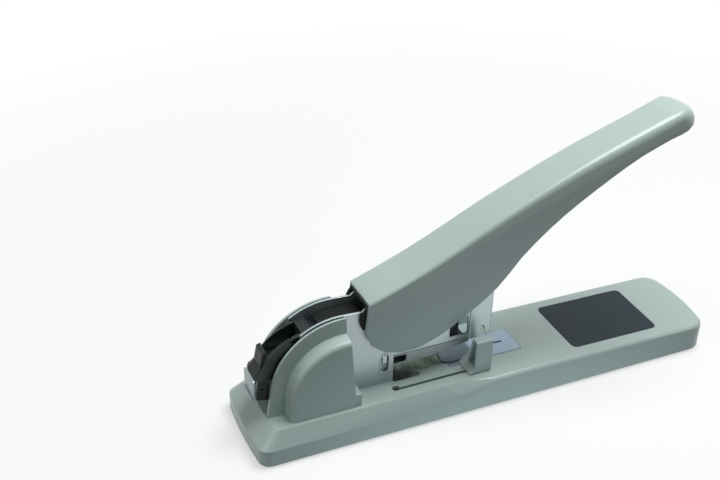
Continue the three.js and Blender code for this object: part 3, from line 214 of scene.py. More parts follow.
def wind_spring(node, name, along, wire, pitch):
    """A compression spring with closed end turns, in the place of its solid."""
    low, high = (Vector(corner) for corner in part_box(node))
    axis = "XYZ".index(along)
    across = (axis + 1) % 3
    outer = (high[across] - low[across]) / 2
    length = high[axis] - low[axis] - wire
    closed_pitch = 1.08 * wire
    turns = 2 * CLOSED_TURNS + (length - 2 * CLOSED_TURNS * closed_pitch) / pitch
    coil = sweep(name, WIRE_SIDES, wire / 2, outer - wire / 2, turns=turns, height=0.0, steps=WIRE_STEPS)
    rings = len(coil.data.vertices) // WIRE_SIDES
    for index, vertex in enumerate(coil.data.vertices):
        turn = turns * (index // WIRE_SIDES) / (rings - 1)
        open_turns = min(max(turn - CLOSED_TURNS, 0.0), turns - 2 * CLOSED_TURNS)
        vertex.co.z += wire / 2 + closed_pitch * (turn - open_turns) + pitch * open_turns
    close_ends(coil)
    start = (low + high) / 2
    start[axis] = low[axis]
    coil.location = start
    if along == "X":
        coil.rotation_euler = (0, math.pi / 2, 0)
    settle(coil)
    smooth(coil, angle=60.0, even=False)
    dress(coil, body_of(node), finish(spring_steel))
    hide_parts(node)
    return coil


def pan_screw(name, head, length, head_height, core, pitch):
    """A screw on the origin, head down, with a cross recess and a rolled thread.
    Head and core are radii, and pitch is the rise of one turn of the thread."""
    head_rounding = 0.45 * head_height
    recess = (1.1 * head, 0.22 * head, 0.8 * head_height)
    recess_middle = 0.2 * head_height
    tip = 0.3 * core
    tip_taper = 0.72
    ridge_size = 0.42 * pitch
    ridge_start = head_height + 0.7 * pitch
    turns = math.floor((length - head_height - 1.6 * pitch) / pitch)
    bpy.ops.object.select_all(action="DESELECT")
    bpy.ops.mesh.primitive_cylinder_add(
        vertices=32, radius=head, depth=head_height, location=(0, 0, head_height / 2),
    )
    screw = bpy.context.object
    screw.name = screw.data.name = name
    settle(screw)
    start_edit(screw, lambda face: face.normal.z < -FACING)
    bpy.ops.mesh.bevel(offset=head_rounding, segments=4, profile=0.5, affect="EDGES")
    end_edit()
    start_edit(screw, lambda face: face.normal.z > FACING)
    bpy.ops.mesh.inset(thickness=head - core)
    for rise in (length - head_height - tip, tip):
        bpy.ops.mesh.extrude_region_move(TRANSFORM_OT_translate={"value": (0, 0, rise)})
    bpy.ops.transform.resize(value=(tip_taper, tip_taper, 1.0))
    end_edit()
    for turn in (0.0, math.pi / 2):
        bpy.ops.object.select_all(action="DESELECT")
        bpy.ops.mesh.primitive_cube_add(
            size=1.0, location=(0, 0, recess_middle), rotation=(0, 0, turn),
        )
        blade = bpy.context.object
        blade.scale = recess
        settle(blade)
        apply_modifier(
            screw, "Recess", "BOOLEAN", operation="DIFFERENCE", solver="EXACT", object=blade,
        )
        bpy.data.objects.remove(blade, do_unlink=True)
    ridge = sweep("ridge", 3, ridge_size, core, turns=turns, height=turns * pitch, steps=16)
    close_ends(ridge)
    ridge.location = (0, 0, ridge_start)
    settle(ridge)
    select_only(screw, ridge)
    bpy.ops.object.join()
    smooth(screw, angle=34.0, even=False)
    return screw


# No two screws of a kind stop at the same angle.
SCREW_TURN = 0.7


def place_screws(kind, count, **sizes):
    """Copies of one screw in the places of its solids, as wide over the head and as long as they are."""
    low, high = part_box(f"{kind}_1")
    head, length = (high[0] - low[0]) / 2, high[2] - low[2]
    pattern = pan_screw(f"{kind}_pattern", head, length, **sizes)
    for number in range(1, count + 1):
        node = f"{kind}_{number}"
        low, high = (Vector(corner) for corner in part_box(node))
        screw = pattern.copy()
        screw.data = pattern.data.copy()
        screw.name = screw.data.name = f"{kind}_turned_{number}"
        bpy.context.scene.collection.objects.link(screw)
        screw.location = ((low.x + high.x) / 2, (low.y + high.y) / 2, low.z)
        screw.rotation_euler = (0, 0, SCREW_TURN * number)
        settle(screw)
        dress(screw, body_of(node), finish(zinc))
        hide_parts(node)
    bpy.data.objects.remove(pattern, do_unlink=True)


# Shader groups


# Sockets that share a name with another are reached by their number. A Mix node's depend on what it mixes.
FACTOR = 0
NUMBER_A, NUMBER_B, NUMBER_OUT = 2, 3, 0
COLOR_A, COLOR_B, COLOR_OUT = 6, 7, 2


def new_group(name, inputs, outputs):
    group = bpy.data.node_groups.new(name, "ShaderNodeTree")
    for label, kind, default in inputs:
        socket = group.interface.new_socket(label, in_out="INPUT", socket_type=kind)
        socket.default_value = default
    for label, kind in outputs:
        group.interface.new_socket(label, in_out="OUTPUT", socket_type=kind)
    return group, group.nodes.new("NodeGroupInput"), group.nodes.new("NodeGroupOutput")


def add(tree, kind, **settings):
    """A node with its settings and its unconnected input values."""
    node = tree.nodes.new(kind)
    values = settings.pop("values", {})
    for key, value in settings.items():
        setattr(node, key, value)
    for key, value in values.items():
        node.inputs[key].default_value = value
    return node


def centred(tree, value):
    """A value from 0 to 1, moved to lie about 0."""
    node = add(tree, "ShaderNodeMath", operation="SUBTRACT", values={1: 0.5})
    tree.links.new(value, node.inputs[0])
    return node.outputs[0]


def mix_colors(tree, share, under, over):
    """One colour laid over another by a share. Share and under are sockets, and over is a colour."""
    mix = add(tree, "ShaderNodeMix", data_type="RGBA", values={COLOR_B: (*over, 1)})
    tree.links.new(share, mix.inputs[FACTOR])
    tree.links.new(under, mix.inputs[COLOR_A])
    return mix.outputs[COLOR_OUT]


def grain_group():
    """Fine unevenness of a coat of enamel or of a moulded surface."""
    group, source, sink = new_group(
        "Surface grain",
        [
            ("Scale", "NodeSocketFloat", 900.0),
            ("Coarse Scale", "NodeSocketFloat", 60.0),
            ("Coarse Share", "NodeSocketFloat", 0.3),
        ],
        [("Height", "NodeSocketFloat")],
    )
    place = add(group, "ShaderNodeTexCoord")
    fine = add(group, "ShaderNodeTexNoise", values={"Detail": 2.0, "Roughness": 0.55})
    coarse = add(group, "ShaderNodeTexNoise", values={"Detail": 1.0})
    blend = add(group, "ShaderNodeMix", data_type="FLOAT")
    link = group.links.new
    link(place.outputs["Object"], fine.inputs["Vector"])
    link(place.outputs["Object"], coarse.inputs["Vector"])
    link(source.outputs["Scale"], fine.inputs["Scale"])
    link(source.outputs["Coarse Scale"], coarse.inputs["Scale"])
    link(source.outputs["Coarse Share"], blend.inputs[FACTOR])
    link(fine.outputs["Fac"], blend.inputs[NUMBER_A])
    link(coarse.outputs["Fac"], blend.inputs[NUMBER_B])
    link(blend.outputs[NUMBER_OUT], sink.inputs["Height"])
    return group


def tone_group():
    """Slow changes of tone and of gloss over a surface."""
    group, source, sink = new_group(
        "Tone drift",
        [
            ("Color", "NodeSocketColor", (0.5, 0.5, 0.5, 1)),
            ("Scale", "NodeSocketFloat", 14.0),
            ("Amount", "NodeSocketFloat", 0.06),
            ("Roughness", "NodeSocketFloat", 0.4),
            ("Roughness Drift", "NodeSocketFloat", 0.1),
        ],
        [("Color", "NodeSocketColor"), ("Roughness", "NodeSocketFloat")],
    )
    place = add(group, "ShaderNodeTexCoord")
    cloud = add(group, "ShaderNodeTexNoise", values={"Detail": 2.0, "Roughness": 0.5})
    smear = add(group, "ShaderNodeTexNoise", values={"Scale": 40.0, "Detail": 2.0, "Distortion": 0.3})
    value = add(group, "ShaderNodeMath", operation="MULTIPLY_ADD", values={2: 1.0})
    tone = add(group, "ShaderNodeHueSaturation")
    gloss = add(group, "ShaderNodeMath", operation="MULTIPLY_ADD", use_clamp=True)
    link = group.links.new
    link(place.outputs["Object"], cloud.inputs["Vector"])
    link(place.outputs["Object"], smear.inputs["Vector"])
    link(source.outputs["Scale"], cloud.inputs["Scale"])
    link(centred(group, cloud.outputs["Fac"]), value.inputs[0])
    link(source.outputs["Amount"], value.inputs[1])
    link(source.outputs["Color"], tone.inputs["Color"])
    link(value.outputs[0], tone.inputs["Value"])
    link(centred(group, smear.outputs["Fac"]), gloss.inputs[0])
    link(source.outputs["Roughness Drift"], gloss.inputs[1])
    link(source.outputs["Roughness"], gloss.inputs[2])
    link(tone.outputs["Color"], sink.inputs["Color"])
    link(gloss.outputs[0], sink.inputs["Roughness"])
    return group


def edge_mask_group():
    """A broken mask along outer edges."""
    group, source, sink = new_group(
        "Edge wear",
        [
            ("Width", "NodeSocketFloat", 0.8 * MM),
            ("Amount", "NodeSocketFloat", 0.5),
            ("Patch Scale", "NodeSocketFloat", 70.0),
        ],
        [("Mask", "NodeSocketFloat")],
    )
    place = add(group, "ShaderNodeTexCoord")
    face = add(group, "ShaderNodeNewGeometry")
    rounded = add(group, "ShaderNodeBevel", samples=4)
    facing = add(group, "ShaderNodeVectorMath", operation="DOT_PRODUCT")
    edge = add(group, "ShaderNodeMapRange", values={"From Min": 0.985, "From Max": 0.86})
    patches = add(group, "ShaderNodeTexNoise", values={"Detail": 6.0, "Roughness": 0.7})
    broken = add(group, "ShaderNodeMapRange", values={"From Min": 0.42, "From Max": 0.62})
    both = add(group, "ShaderNodeMath", operation="MULTIPLY")
    scaled = add(group, "ShaderNodeMath", operation="MULTIPLY", use_clamp=True)
    link = group.links.new
    link(source.outputs["Width"], rounded.inputs["Radius"])
    link(rounded.outputs["Normal"], facing.inputs[0])
    link(face.outputs["Normal"], facing.inputs[1])
    link(facing.outputs["Value"], edge.inputs["Value"])
    link(place.outputs["Object"], patches.inputs["Vector"])
    link(source.outputs["Patch Scale"], patches.inputs["Scale"])
    link(patches.outputs["Fac"], broken.inputs["Value"])
    link(edge.outputs["Result"], both.inputs[0])
    link(broken.outputs["Result"], both.inputs[1])
    link(both.outputs[0], scaled.inputs[0])
    link(source.outputs["Amount"], scaled.inputs[1])
    link(scaled.outputs[0], sink.inputs["Mask"])
    return group


def brush_group():
    """Long parallel scratches, as drawn sheet metal has, along one of the object's axes."""
    group, source, sink = new_group(
        "Brushed lines",
        [("Along", "NodeSocketVector", (1.0, 1.0, 1.0)), ("Scale", "NodeSocketFloat", 400.0)],
        [("Height", "NodeSocketFloat"), ("Streak", "NodeSocketFloat")],
    )
    place = add(group, "ShaderNodeTexCoord")
    stretch = add(group, "ShaderNodeVectorMath", operation="MULTIPLY")
    lines = add(group, "ShaderNodeTexNoise", values={"Detail": 4.0, "Roughness": 0.65})
    streak = add(group, "ShaderNodeMapRange", values={"From Min": 0.35, "From Max": 0.65})
    link = group.links.new
    link(place.outputs["Object"], stretch.inputs[0])
    link(source.outputs["Along"], stretch.inputs[1])
    link(stretch.outputs[0], lines.inputs["Vector"])
    link(source.outputs["Scale"], lines.inputs["Scale"])
    link(lines.outputs["Fac"], streak.inputs["Value"])
    link(lines.outputs["Fac"], sink.inputs["Height"])
    link(streak.outputs["Result"], sink.inputs["Streak"])
    return group


GROUPS = {}


def place_group(tree, make, **values):
    """A group in a material, made when it is first wanted. The values are those of its inputs here, and an
    underscore stands for a space."""
    if make not in GROUPS:
        GROUPS[make] = make()
    node = tree.nodes.new("ShaderNodeGroup")
    node.node_tree = GROUPS[make]
    for key, value in values.items():
        node.inputs[key.replace("_", " ")].default_value = value
    return node


# Materials


def new_material(name):
    material = bpy.data.materials.new(name)
    material.use_nodes = True
    return material, material.node_tree, material.node_tree.nodes["Principled BSDF"]


def tinted(color, share):
    """A colour made paler or darker by a share."""
    return tuple(share * value for value in color)


def bump(tree, shader, height, strength, distance):
    node = add(tree, "ShaderNodeBump", values={"Strength": strength, "Distance": distance})
    tree.links.new(height, node.inputs["Height"])
    tree.links.new(node.outputs["Normal"], shader.inputs["Normal"])


def coated(
    name, color, worn, roughness, amount, grain=900.0, depth=0.01 * MM, wear=0.5, coat=0.0, gloss=0.5,
):
    """Enamel or moulded plastic: tone that drifts by an amount, fine grain, and a colour at worn edges."""
    material, tree, shader = new_material(name)
    tone = place_group(
        tree, tone_group, Color=(*color, 1), Amount=amount, Roughness=roughness, Roughness_Drift=0.16,
    )
    edges = place_group(tree, edge_mask_group, Amount=wear)
    grains = place_group(tree, grain_group, Scale=grain)
    surface = mix_colors(tree, edges.outputs["Mask"], tone.outputs["Color"], worn)
    tree.links.new(surface, shader.inputs["Base Color"])
    tree.links.new(tone.outputs["Roughness"], shader.inputs["Roughness"])
    shader.inputs["Coat Weight"].default_value = coat
    shader.inputs["Coat Roughness"].default_value = 0.16
    shader.inputs["Specular IOR Level"].default_value = gloss
    bump(tree, shader, grains.outputs["Height"], strength=0.35, distance=depth)
    return material


# Which way a metal's fine lines run. A small factor along an axis draws the pattern out along it.
DRAWN_OUT = 0.12
UPRIGHT = (1.0, 1.0, DRAWN_OUT)
LENGTHWISE = (DRAWN_OUT, 1.0, 1.0)
CROSSWISE = (1.0, DRAWN_OUT, 1.0)
EVERY_WAY = (1.0, 1.0, 1.0)

# How much rougher a metal is in its duller streaks
STREAKS = 0.05


def metal(name, color, roughness, along, amount=0.05, scale=160.0, worn=None):
    """Plated or bare sheet metal with fine lines along one direction. Worn is the colour laid along broken
    stretches of the edges: bared metal, and on the rack's rib crests a painted highlight as well.
    """
    material, tree, shader = new_material(name)
    tone = place_group(
        tree, tone_group,
        Color=(*color, 1), Amount=amount, Roughness=roughness, Roughness_Drift=0.14, Scale=28.0,
    )
    lines = place_group(tree, brush_group, Along=along, Scale=scale)
    rough = add(tree, "ShaderNodeMath", operation="MULTIPLY_ADD", use_clamp=True, values={1: STREAKS})
    link = tree.links.new
    link(lines.outputs["Streak"], rough.inputs[0])
    link(tone.outputs["Roughness"], rough.inputs[2])
    link(rough.outputs[0], shader.inputs["Roughness"])
    shader.inputs["Metallic"].default_value = 1.0
    surface = tone.outputs["Color"]
    # Broken stretches of the edges take the worn colour: bared metal, and for the rack also a painted
    # highlight on the rib crests.
    if worn:
        edges = place_group(tree, edge_mask_group, Amount=2.0, Width=0.5 * MM)
        surface = mix_colors(tree, edges.outputs["Mask"], surface, worn)
    link(surface, shader.inputs["Base Color"])
    bump(tree, shader, lines.outputs["Height"], strength=0.2, distance=0.004 * MM)
    return material


def enamel():
    """Light gray enamel, worn to dull metal along its edges."""
    colors = bpy.context.scene.stapler_finishes
    return coated(
        "Gray enamel", colors.body, tinted(colors.nickel, 0.5),
        roughness=0.35, amount=0.07, grain=1100.0, wear=colors.wear, coat=0.25,
    )


def gray_plastic():
    """Mouldings that match the enamel, paler along their edges."""
    colors = bpy.context.scene.stapler_finishes
    return coated(
        "Gray moulding", colors.body, tinted(colors.body, 1.2),
        roughness=0.4, amount=0.06, grain=1400.0, wear=0.35 * colors.wear,
    )


def dark_plastic():
    """Charcoal mouldings with a deeper grain."""
    colors = bpy.context.scene.stapler_finishes
    return coated(
        "Charcoal moulding", colors.dark, tinted(colors.dark, 3.0),
        roughness=0.42, amount=0.3, grain=1500.0, depth=0.02 * MM, wear=colors.wear, gloss=0.28,
    )


def black_paint_and_shade():
    """Nearly black paint on sheet steel, darker than the paint itself: painted shade for the shade under the
    handle and in the gap between the frame and the handle shell.
    """
    return coated(
        "Dark paint", (0.008, 0.0105, 0.0095), (0.05, 0.052, 0.05),
        roughness=0.5, amount=0.3, grain=1200.0, wear=0.4, gloss=0.15,
    )


def nylon():
    """Washers in natural nylon."""
    return coated("Nylon", (0.62, 0.6, 0.54), (0.7, 0.68, 0.62), roughness=0.5, amount=0.06, wear=0.1)


def slate():
    """The bare plate on the deck."""
    return coated(
        "Slate plate", (0.019, 0.03, 0.038), (0.08, 0.1, 0.11),
        roughness=0.55, amount=0.2, grain=2000.0, depth=0.005 * MM, wear=0.3, gloss=0.2,
    )


def nickel():
    """Nickel plating with upright lines."""
    colors = bpy.context.scene.stapler_finishes
    return metal("Nickel plating", colors.nickel, 0.35, UPRIGHT)


def nickel_sheet():
    """The frame's plating, a little darker."""
    colors = bpy.context.scene.stapler_finishes
    return metal("Nickel-plated sheet", tinted(colors.nickel, 0.85), 0.36, UPRIGHT)


def nickel_lengthwise():
    """Nickel plating on a channel that was drawn along its length."""
    colors = bpy.context.scene.stapler_finishes
    return metal("Nickel plating, drawn lengthwise", colors.nickel, 0.35, LENGTHWISE)


def dull_nickel():
    """Darker plating with less shine."""
    colors = bpy.context.scene.stapler_finishes
    return metal("Dull nickel plating", tinted(colors.nickel, 0.62), 0.4, LENGTHWISE)


def ground_steel():
    """The bluish plate that clinches the staples, ground across."""
    return metal("Ground steel", (0.245, 0.32, 0.38), 0.42, CROSSWISE, amount=0.1)


def blued():
    """Hardened spring steel."""
    return metal("Blued spring steel", (0.11, 0.15, 0.17), 0.36, LENGTHWISE, amount=0.2)


def zinc():
    """Zinc on screws, rivets and hidden plates."""
    return metal("Zinc plating", (0.42, 0.44, 0.45), 0.4, EVERY_WAY, scale=90.0)


def spring_steel():
    """Drawn wire and ground pins."""
    return metal("Spring wire", (0.40, 0.42, 0.44), 0.35, EVERY_WAY)


def black_steel():
    """The rack's black steel, with a painted highlight on the crests of its ribs, which are partly bared
    steel too.
    """
    # The worn colour on the rib crests is a painted highlight as well as bared steel.
    return metal(
        "Black steel", (0.07, 0.098, 0.083), 0.38, CROSSWISE, amount=0.3, worn=(0.68, 0.8, 0.66),
    )


def rubber():
    """A matt sole with a fine cell pattern."""
    material, tree, shader = new_material("Black rubber")
    tone = place_group(
        tree, tone_group, Color=(0.02, 0.021, 0.022, 1), Amount=0.3, Roughness=0.85, Roughness_Drift=0.1,
    )
    place = add(tree, "ShaderNodeTexCoord")
    cells = add(
        tree, "ShaderNodeTexVoronoi", feature="DISTANCE_TO_EDGE", values={"Scale": 260.0, "Randomness": 0.15},
    )
    link = tree.links.new
    link(place.outputs["Object"], cells.inputs["Vector"])
    link(tone.outputs["Color"], shader.inputs["Base Color"])
    link(tone.outputs["Roughness"], shader.inputs["Roughness"])
    bump(tree, shader, cells.outputs["Distance"], strength=0.6, distance=0.3 * MM)
    return material


MATERIALS = {}


def finish(make):
    """The material that a finish makes, made when it is first wanted."""
    if make not in MATERIALS:
        MATERIALS[make] = make()
    return MATERIALS[make]


# Settings


def size_setting(name, description, default):
    return bpy.props.FloatProperty(
        name=name, description=description, default=default,
        min=0.0, subtype="DISTANCE", unit="LENGTH", precision=5,
    )


def color_setting(name, description, default):
    return bpy.props.FloatVectorProperty(
        name=name, description=description, default=default, min=0.0, max=1.0, size=3, subtype="COLOR",
    )


def power_setting(name, description, default):
    return bpy.props.FloatProperty(name=name, description=description, default=default, unit="POWER")


class STAPLER_PG_finishes(bpy.types.PropertyGroup):
    body: color_setting("Body", "Enamel and mouldings of the body", (0.395, 0.486, 0.46))
    nickel: color_setting("Nickel", "Plated sheet metal", (0.46, 0.535, 0.545))
    dark: color_setting("Dark mouldings", "Drawer cap and pusher", (0.011, 0.0155, 0.016))
    wear: bpy.props.FloatProperty(
        name="Wear", description="How worn the edges are", default=0.35, min=0.0, max=1.0, subtype="FACTOR",
    )


class STAPLER_PG_edges(bpy.types.PropertyGroup):
    pressed: size_setting("Pressed edges", "Radius on edges of pressed and painted steel", 0.4 * MM)
    moulded: size_setting("Moulded edges", "Radius on edges of plastic mouldings", 0.35 * MM)
    sheared: size_setting("Sheared edges", "Radius on edges of cut sheet metal", 0.15 * MM)
    ribs: size_setting("Rib edges", "Radius on the crests of the rack's ribs", 0.08 * MM)
    peened: size_setting("Peened ends", "Radius on rivet heads and pin ends", 0.5 * MM)


class STAPLER_PG_lever(bpy.types.PropertyGroup):
    flat: size_setting("Nose flat", "Half the width of the lever's flat top", 8.0 * MM)
    length: size_setting("Nose length", "How far back the crown of the nose begins", 23.0 * MM)
    crown: size_setting("Nose crown", "How far the middle of the nose stands forward", 2.2 * MM)


class STAPLER_PG_wires(bpy.types.PropertyGroup):
    pusher: size_setting("Pusher wire", "Diameter of the pusher spring's wire", 0.9 * MM)
    pusher_pitch: size_setting("Pusher pitch", "Rise of one turn of the pusher spring", 7.6 * MM)
    lift: size_setting("Return wire", "Diameter of the return spring's wire", 1.2 * MM)
    lift_pitch: size_setting("Return pitch", "Rise of one turn of the return spring", 1.9 * MM)


class STAPLER_PG_studio(bpy.types.PropertyGroup):
    key: power_setting("Key light", "Power of the overhead lamp", 7.4)
    fill: power_setting("Fill light", "Power of the far lamp", 0.4)
    rear: power_setting("Rear light", "Power of the rear lamp", 1.2)
    ambient: bpy.props.FloatProperty(name="Ambient", description="Strength of the surroundings", default=0.15)


# Pieces


class STAPLER_OT_base(bpy.types.Operator):
    """Finish the base, its plates and its sole"""

    bl_idname = "stapler.base"
    bl_label = "Base"

    def execute(self, context):
        edges = context.scene.stapler_edges
        finished_copy("base_shell", "base_enamelled", finish(enamel), edges.pressed, segments=3, limit=30.0)
        finished_copy("anvil_plate", "anvil", finish(ground_steel), edges.sheared)
        finished_copy("guide_rack", "ribbed_rack", finish(black_steel), edges.ribs)
        finished_copy("label_plate", "blank_plate", finish(slate), edges.sheared)
        finished_copy("rubber_sole", "sole", finish(rubber), edges.moulded)
        finished_copy("base_plate", "closing_plate", finish(zinc), edges.sheared)
        return {"FINISHED"}


class STAPLER_OT_covers(bpy.types.Operator):
    """Finish the two side covers"""

    bl_idname = "stapler.covers"
    bl_label = "Side covers"

    def execute(self, context):
        edges = context.scene.stapler_edges
        for side in ("left", "right"):
            finished_copy(
                f"side_cover_{side}", f"cover_{side}", finish(gray_plastic), edges.pressed,
                segments=3, limit=30.0,
            )
        return {"FINISHED"}


class STAPLER_OT_frame(bpy.types.Operator):
    """Finish the plated frame and the guard between its plates"""

    bl_idname = "stapler.frame"
    bl_label = "Frame"

    def execute(self, context):
        edges = context.scene.stapler_edges
        finished_copy("frame", "frame_plated", finish(nickel_sheet), edges.sheared)
        # The guard's nearly black paint is partly painted shade, for the shade that falls under the handle.
        finished_copy("top_guard", "guard", finish(black_paint_and_shade), edges.sheared)
        return {"FINISHED"}


class STAPLER_OT_arm(bpy.types.Operator):
    """Finish the magazine, its tray and the driver housing"""

    bl_idname = "stapler.arm"
    bl_label = "Magazine arm"

    def execute(self, context):
        edges = context.scene.stapler_edges
        finished_copy("magazine_channel", "magazine", finish(nickel_lengthwise), edges.sheared)
        finished_copy("staple_tray", "tray", finish(dull_nickel), edges.sheared)
        finished_copy("driver_housing", "housing", finish(nickel), edges.sheared * 1.5, segments=3)
        return {"FINISHED"}


class STAPLER_OT_driver(bpy.types.Operator):
    """Finish the driver inside its housing"""

    bl_idname = "stapler.driver"
    bl_label = "Driver"

    def execute(self, context):
        edges = context.scene.stapler_edges
        finished_copy("driver_carriage", "carriage", finish(zinc), edges.sheared)
        finished_copy("driver_blade", "blade", finish(blued), edges.sheared * 0.6)
        for number in (1, 2):
            finished_copy(f"blade_rivet_{number}", f"rivet_{number}", finish(zinc), edges.sheared)
        return {"FINISHED"}


class STAPLER_OT_drawer(bpy.types.Operator):
    """Finish the loading drawer, its rod and its pusher"""

    bl_idname = "stapler.drawer"
    bl_label = "Loading drawer"

    def execute(self, context):
        edges = context.scene.stapler_edges
        finished_copy("drawer_cap", "cap", finish(dark_plastic), edges.moulded)
        finished_copy("drawer_end_plate", "end_plate", finish(dull_nickel), edges.sheared)
        finished_copy("guide_rod", "rod", finish(spring_steel), edges.sheared)
        finished_copy("pusher_block", "pusher", finish(dark_plastic), edges.moulded)
        return {"FINISHED"}


class STAPLER_OT_lever(bpy.types.Operator):
    """Finish the lever's shell, channel, spacers and pin"""

    bl_idname = "stapler.lever"
    bl_label = "Lever"

    def execute(self, context):
        edges = context.scene.stapler_edges
        finished_copy(
            "handle_shell", "shell", finish(enamel), edges.sheared * 2,
            limit=40.0, even=False, shape=crown_nose,
        )
        # The lever channel's nearly black paint is partly painted shade, for the shade in the gap between the
        # frame and the handle shell.
        finished_copy("inner_lever", "lever_channel", finish(black_paint_and_shade), edges.sheared, limit=40.0)
        for number in (1, 2):
            finished_copy(f"lever_spacer_{number}", f"spacer_{number}", finish(zinc), edges.sheared)
        finished_copy("driver_pin", "pin", finish(spring_steel), edges.sheared)
        return {"FINISHED"}


class STAPLER_OT_guide(bpy.types.Operator):
    """Finish the paper guide with its spring strip and clip"""

    bl_idname = "stapler.guide"
    bl_label = "Paper guide"

    def execute(self, context):
        edges = context.scene.stapler_edges
        finished_copy("paper_guide", "paper_stop", finish(gray_plastic), edges.moulded)
        finished_copy("detent_leaf", "leaf", finish(blued), edges.sheared * 0.7)
        finished_copy("guide_clip", "clip", finish(dark_plastic), edges.moulded)
        return {"FINISHED"}


class STAPLER_OT_fasteners(bpy.types.Operator):
    """Finish the pivots, washers and screws"""

    bl_idname = "stapler.fasteners"
    bl_label = "Pivots and screws"

    def execute(self, context):
        edges = context.scene.stapler_edges
        for side in ("left", "right"):
            finished_copy(
                f"arm_pivot_rivet_{side}", f"arm_rivet_{side}", finish(zinc), edges.peened, segments=4,
            )
            finished_copy(f"pivot_washer_{side}", f"washer_{side}", finish(nylon), edges.sheared)
        finished_copy("handle_pivot_pin", "pivot_pin", finish(spring_steel), edges.peened, segments=3)
        finished_copy("spring_seat", "seat", finish(zinc), edges.peened, segments=3)
        place_screws("base_plate_screw", 4, head_height=0.9 * MM, core=0.95 * MM, pitch=0.6 * MM)
        place_screws("cover_screw", 4, head_height=2.2 * MM, core=1.2 * MM, pitch=0.7 * MM)
        place_screws("frame_screw", 2, head_height=2.2 * MM, core=1.65 * MM, pitch=0.7 * MM)
        return {"FINISHED"}


class STAPLER_OT_springs(bpy.types.Operator):
    """Wind the two coil springs"""

    bl_idname = "stapler.springs"
    bl_label = "Springs"

    def execute(self, context):
        wires = context.scene.stapler_wires
        pusher = wind_spring("pusher_spring", "pusher_coil", "X", wires.pusher, wires.pusher_pitch)
        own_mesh(pusher)
        lift = wind_spring("return_spring", "return_coil", "Z", wires.lift, wires.lift_pitch)
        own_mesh(lift)
        return {"FINISHED"}


# Studio


WHITE = (1, 1, 1, 1)
BLACK = (0, 0, 0, 1)
CARD = (0.94, 0.94, 0.94, 1)
BOUNCED_TINT = (0.82, 0.98, 1.0, 1)
AMBIENT_TINT = (0.8, 0.95, 1.0, 1)

# Near the object the floor is seen as card under the lamps, mixed with plain white by a share that rises
# to 1 between two distances from the middle. The light that it throws back fades out between two others.
FLOOR_SIZE = 8.0
FLOOR_DROP = 0.2 * MM
WHITE_SHARE = 0.56
WHITE_FADE = (0.16, 0.55)
BOUNCE_FADE = (0.06, 0.19)

# Place and width of each lamp. All are turned to the origin.
LAMPS = {
    "key": ("Key light", (0.2, 0.0, 0.9), 0.55),
    "fill": ("Fill light", (-0.2, 0.95, 0.7), 0.8),
    "rear": ("Rear light", (-0.8, -0.1, 0.5), 0.5),
}

# The camera's angles round the object in degrees, the point it is turned to and its distance from there, its
# lens and sensor in millimetres, and its shift as a share of the picture's width.
AZIMUTH = -25.0
ELEVATION = 32.34
ROLL = 1.77
AIM = Vector((-0.07105, 0, 0.1045))
DISTANCE = 0.5935
LENS = 57.57
SENSOR = 36.0
SHIFT = (-0.0139, 0.0096)


def seen_by(tree, *rays):
    """1 for rays of these kinds and 0 for all others."""
    path = add(tree, "ShaderNodeLightPath")
    seen = path.outputs[rays[0]]
    for ray in rays[1:]:
        either = add(tree, "ShaderNodeMath", operation="MAXIMUM")
        tree.links.new(seen, either.inputs[0])
        tree.links.new(path.outputs[ray], either.inputs[1])
        seen = either.outputs[0]
    return seen


def fade(tree, value, between, start, end):
    """Goes from start to end as a value goes from the first to the second of between."""
    low, high = between
    node = add(
        tree, "ShaderNodeMapRange",
        values={"From Min": low, "From Max": high, "To Min": start, "To Max": end},
    )
    tree.links.new(value, node.inputs["Value"])
    return node.outputs["Result"]


def mix_shaders(tree, share, under, over):
    """One shader node laid over another by a share."""
    mix = add(tree, "ShaderNodeMixShader")
    for index, socket in enumerate((share, under.outputs[0], over.outputs[0])):
        tree.links.new(socket, mix.inputs[index])
    return mix


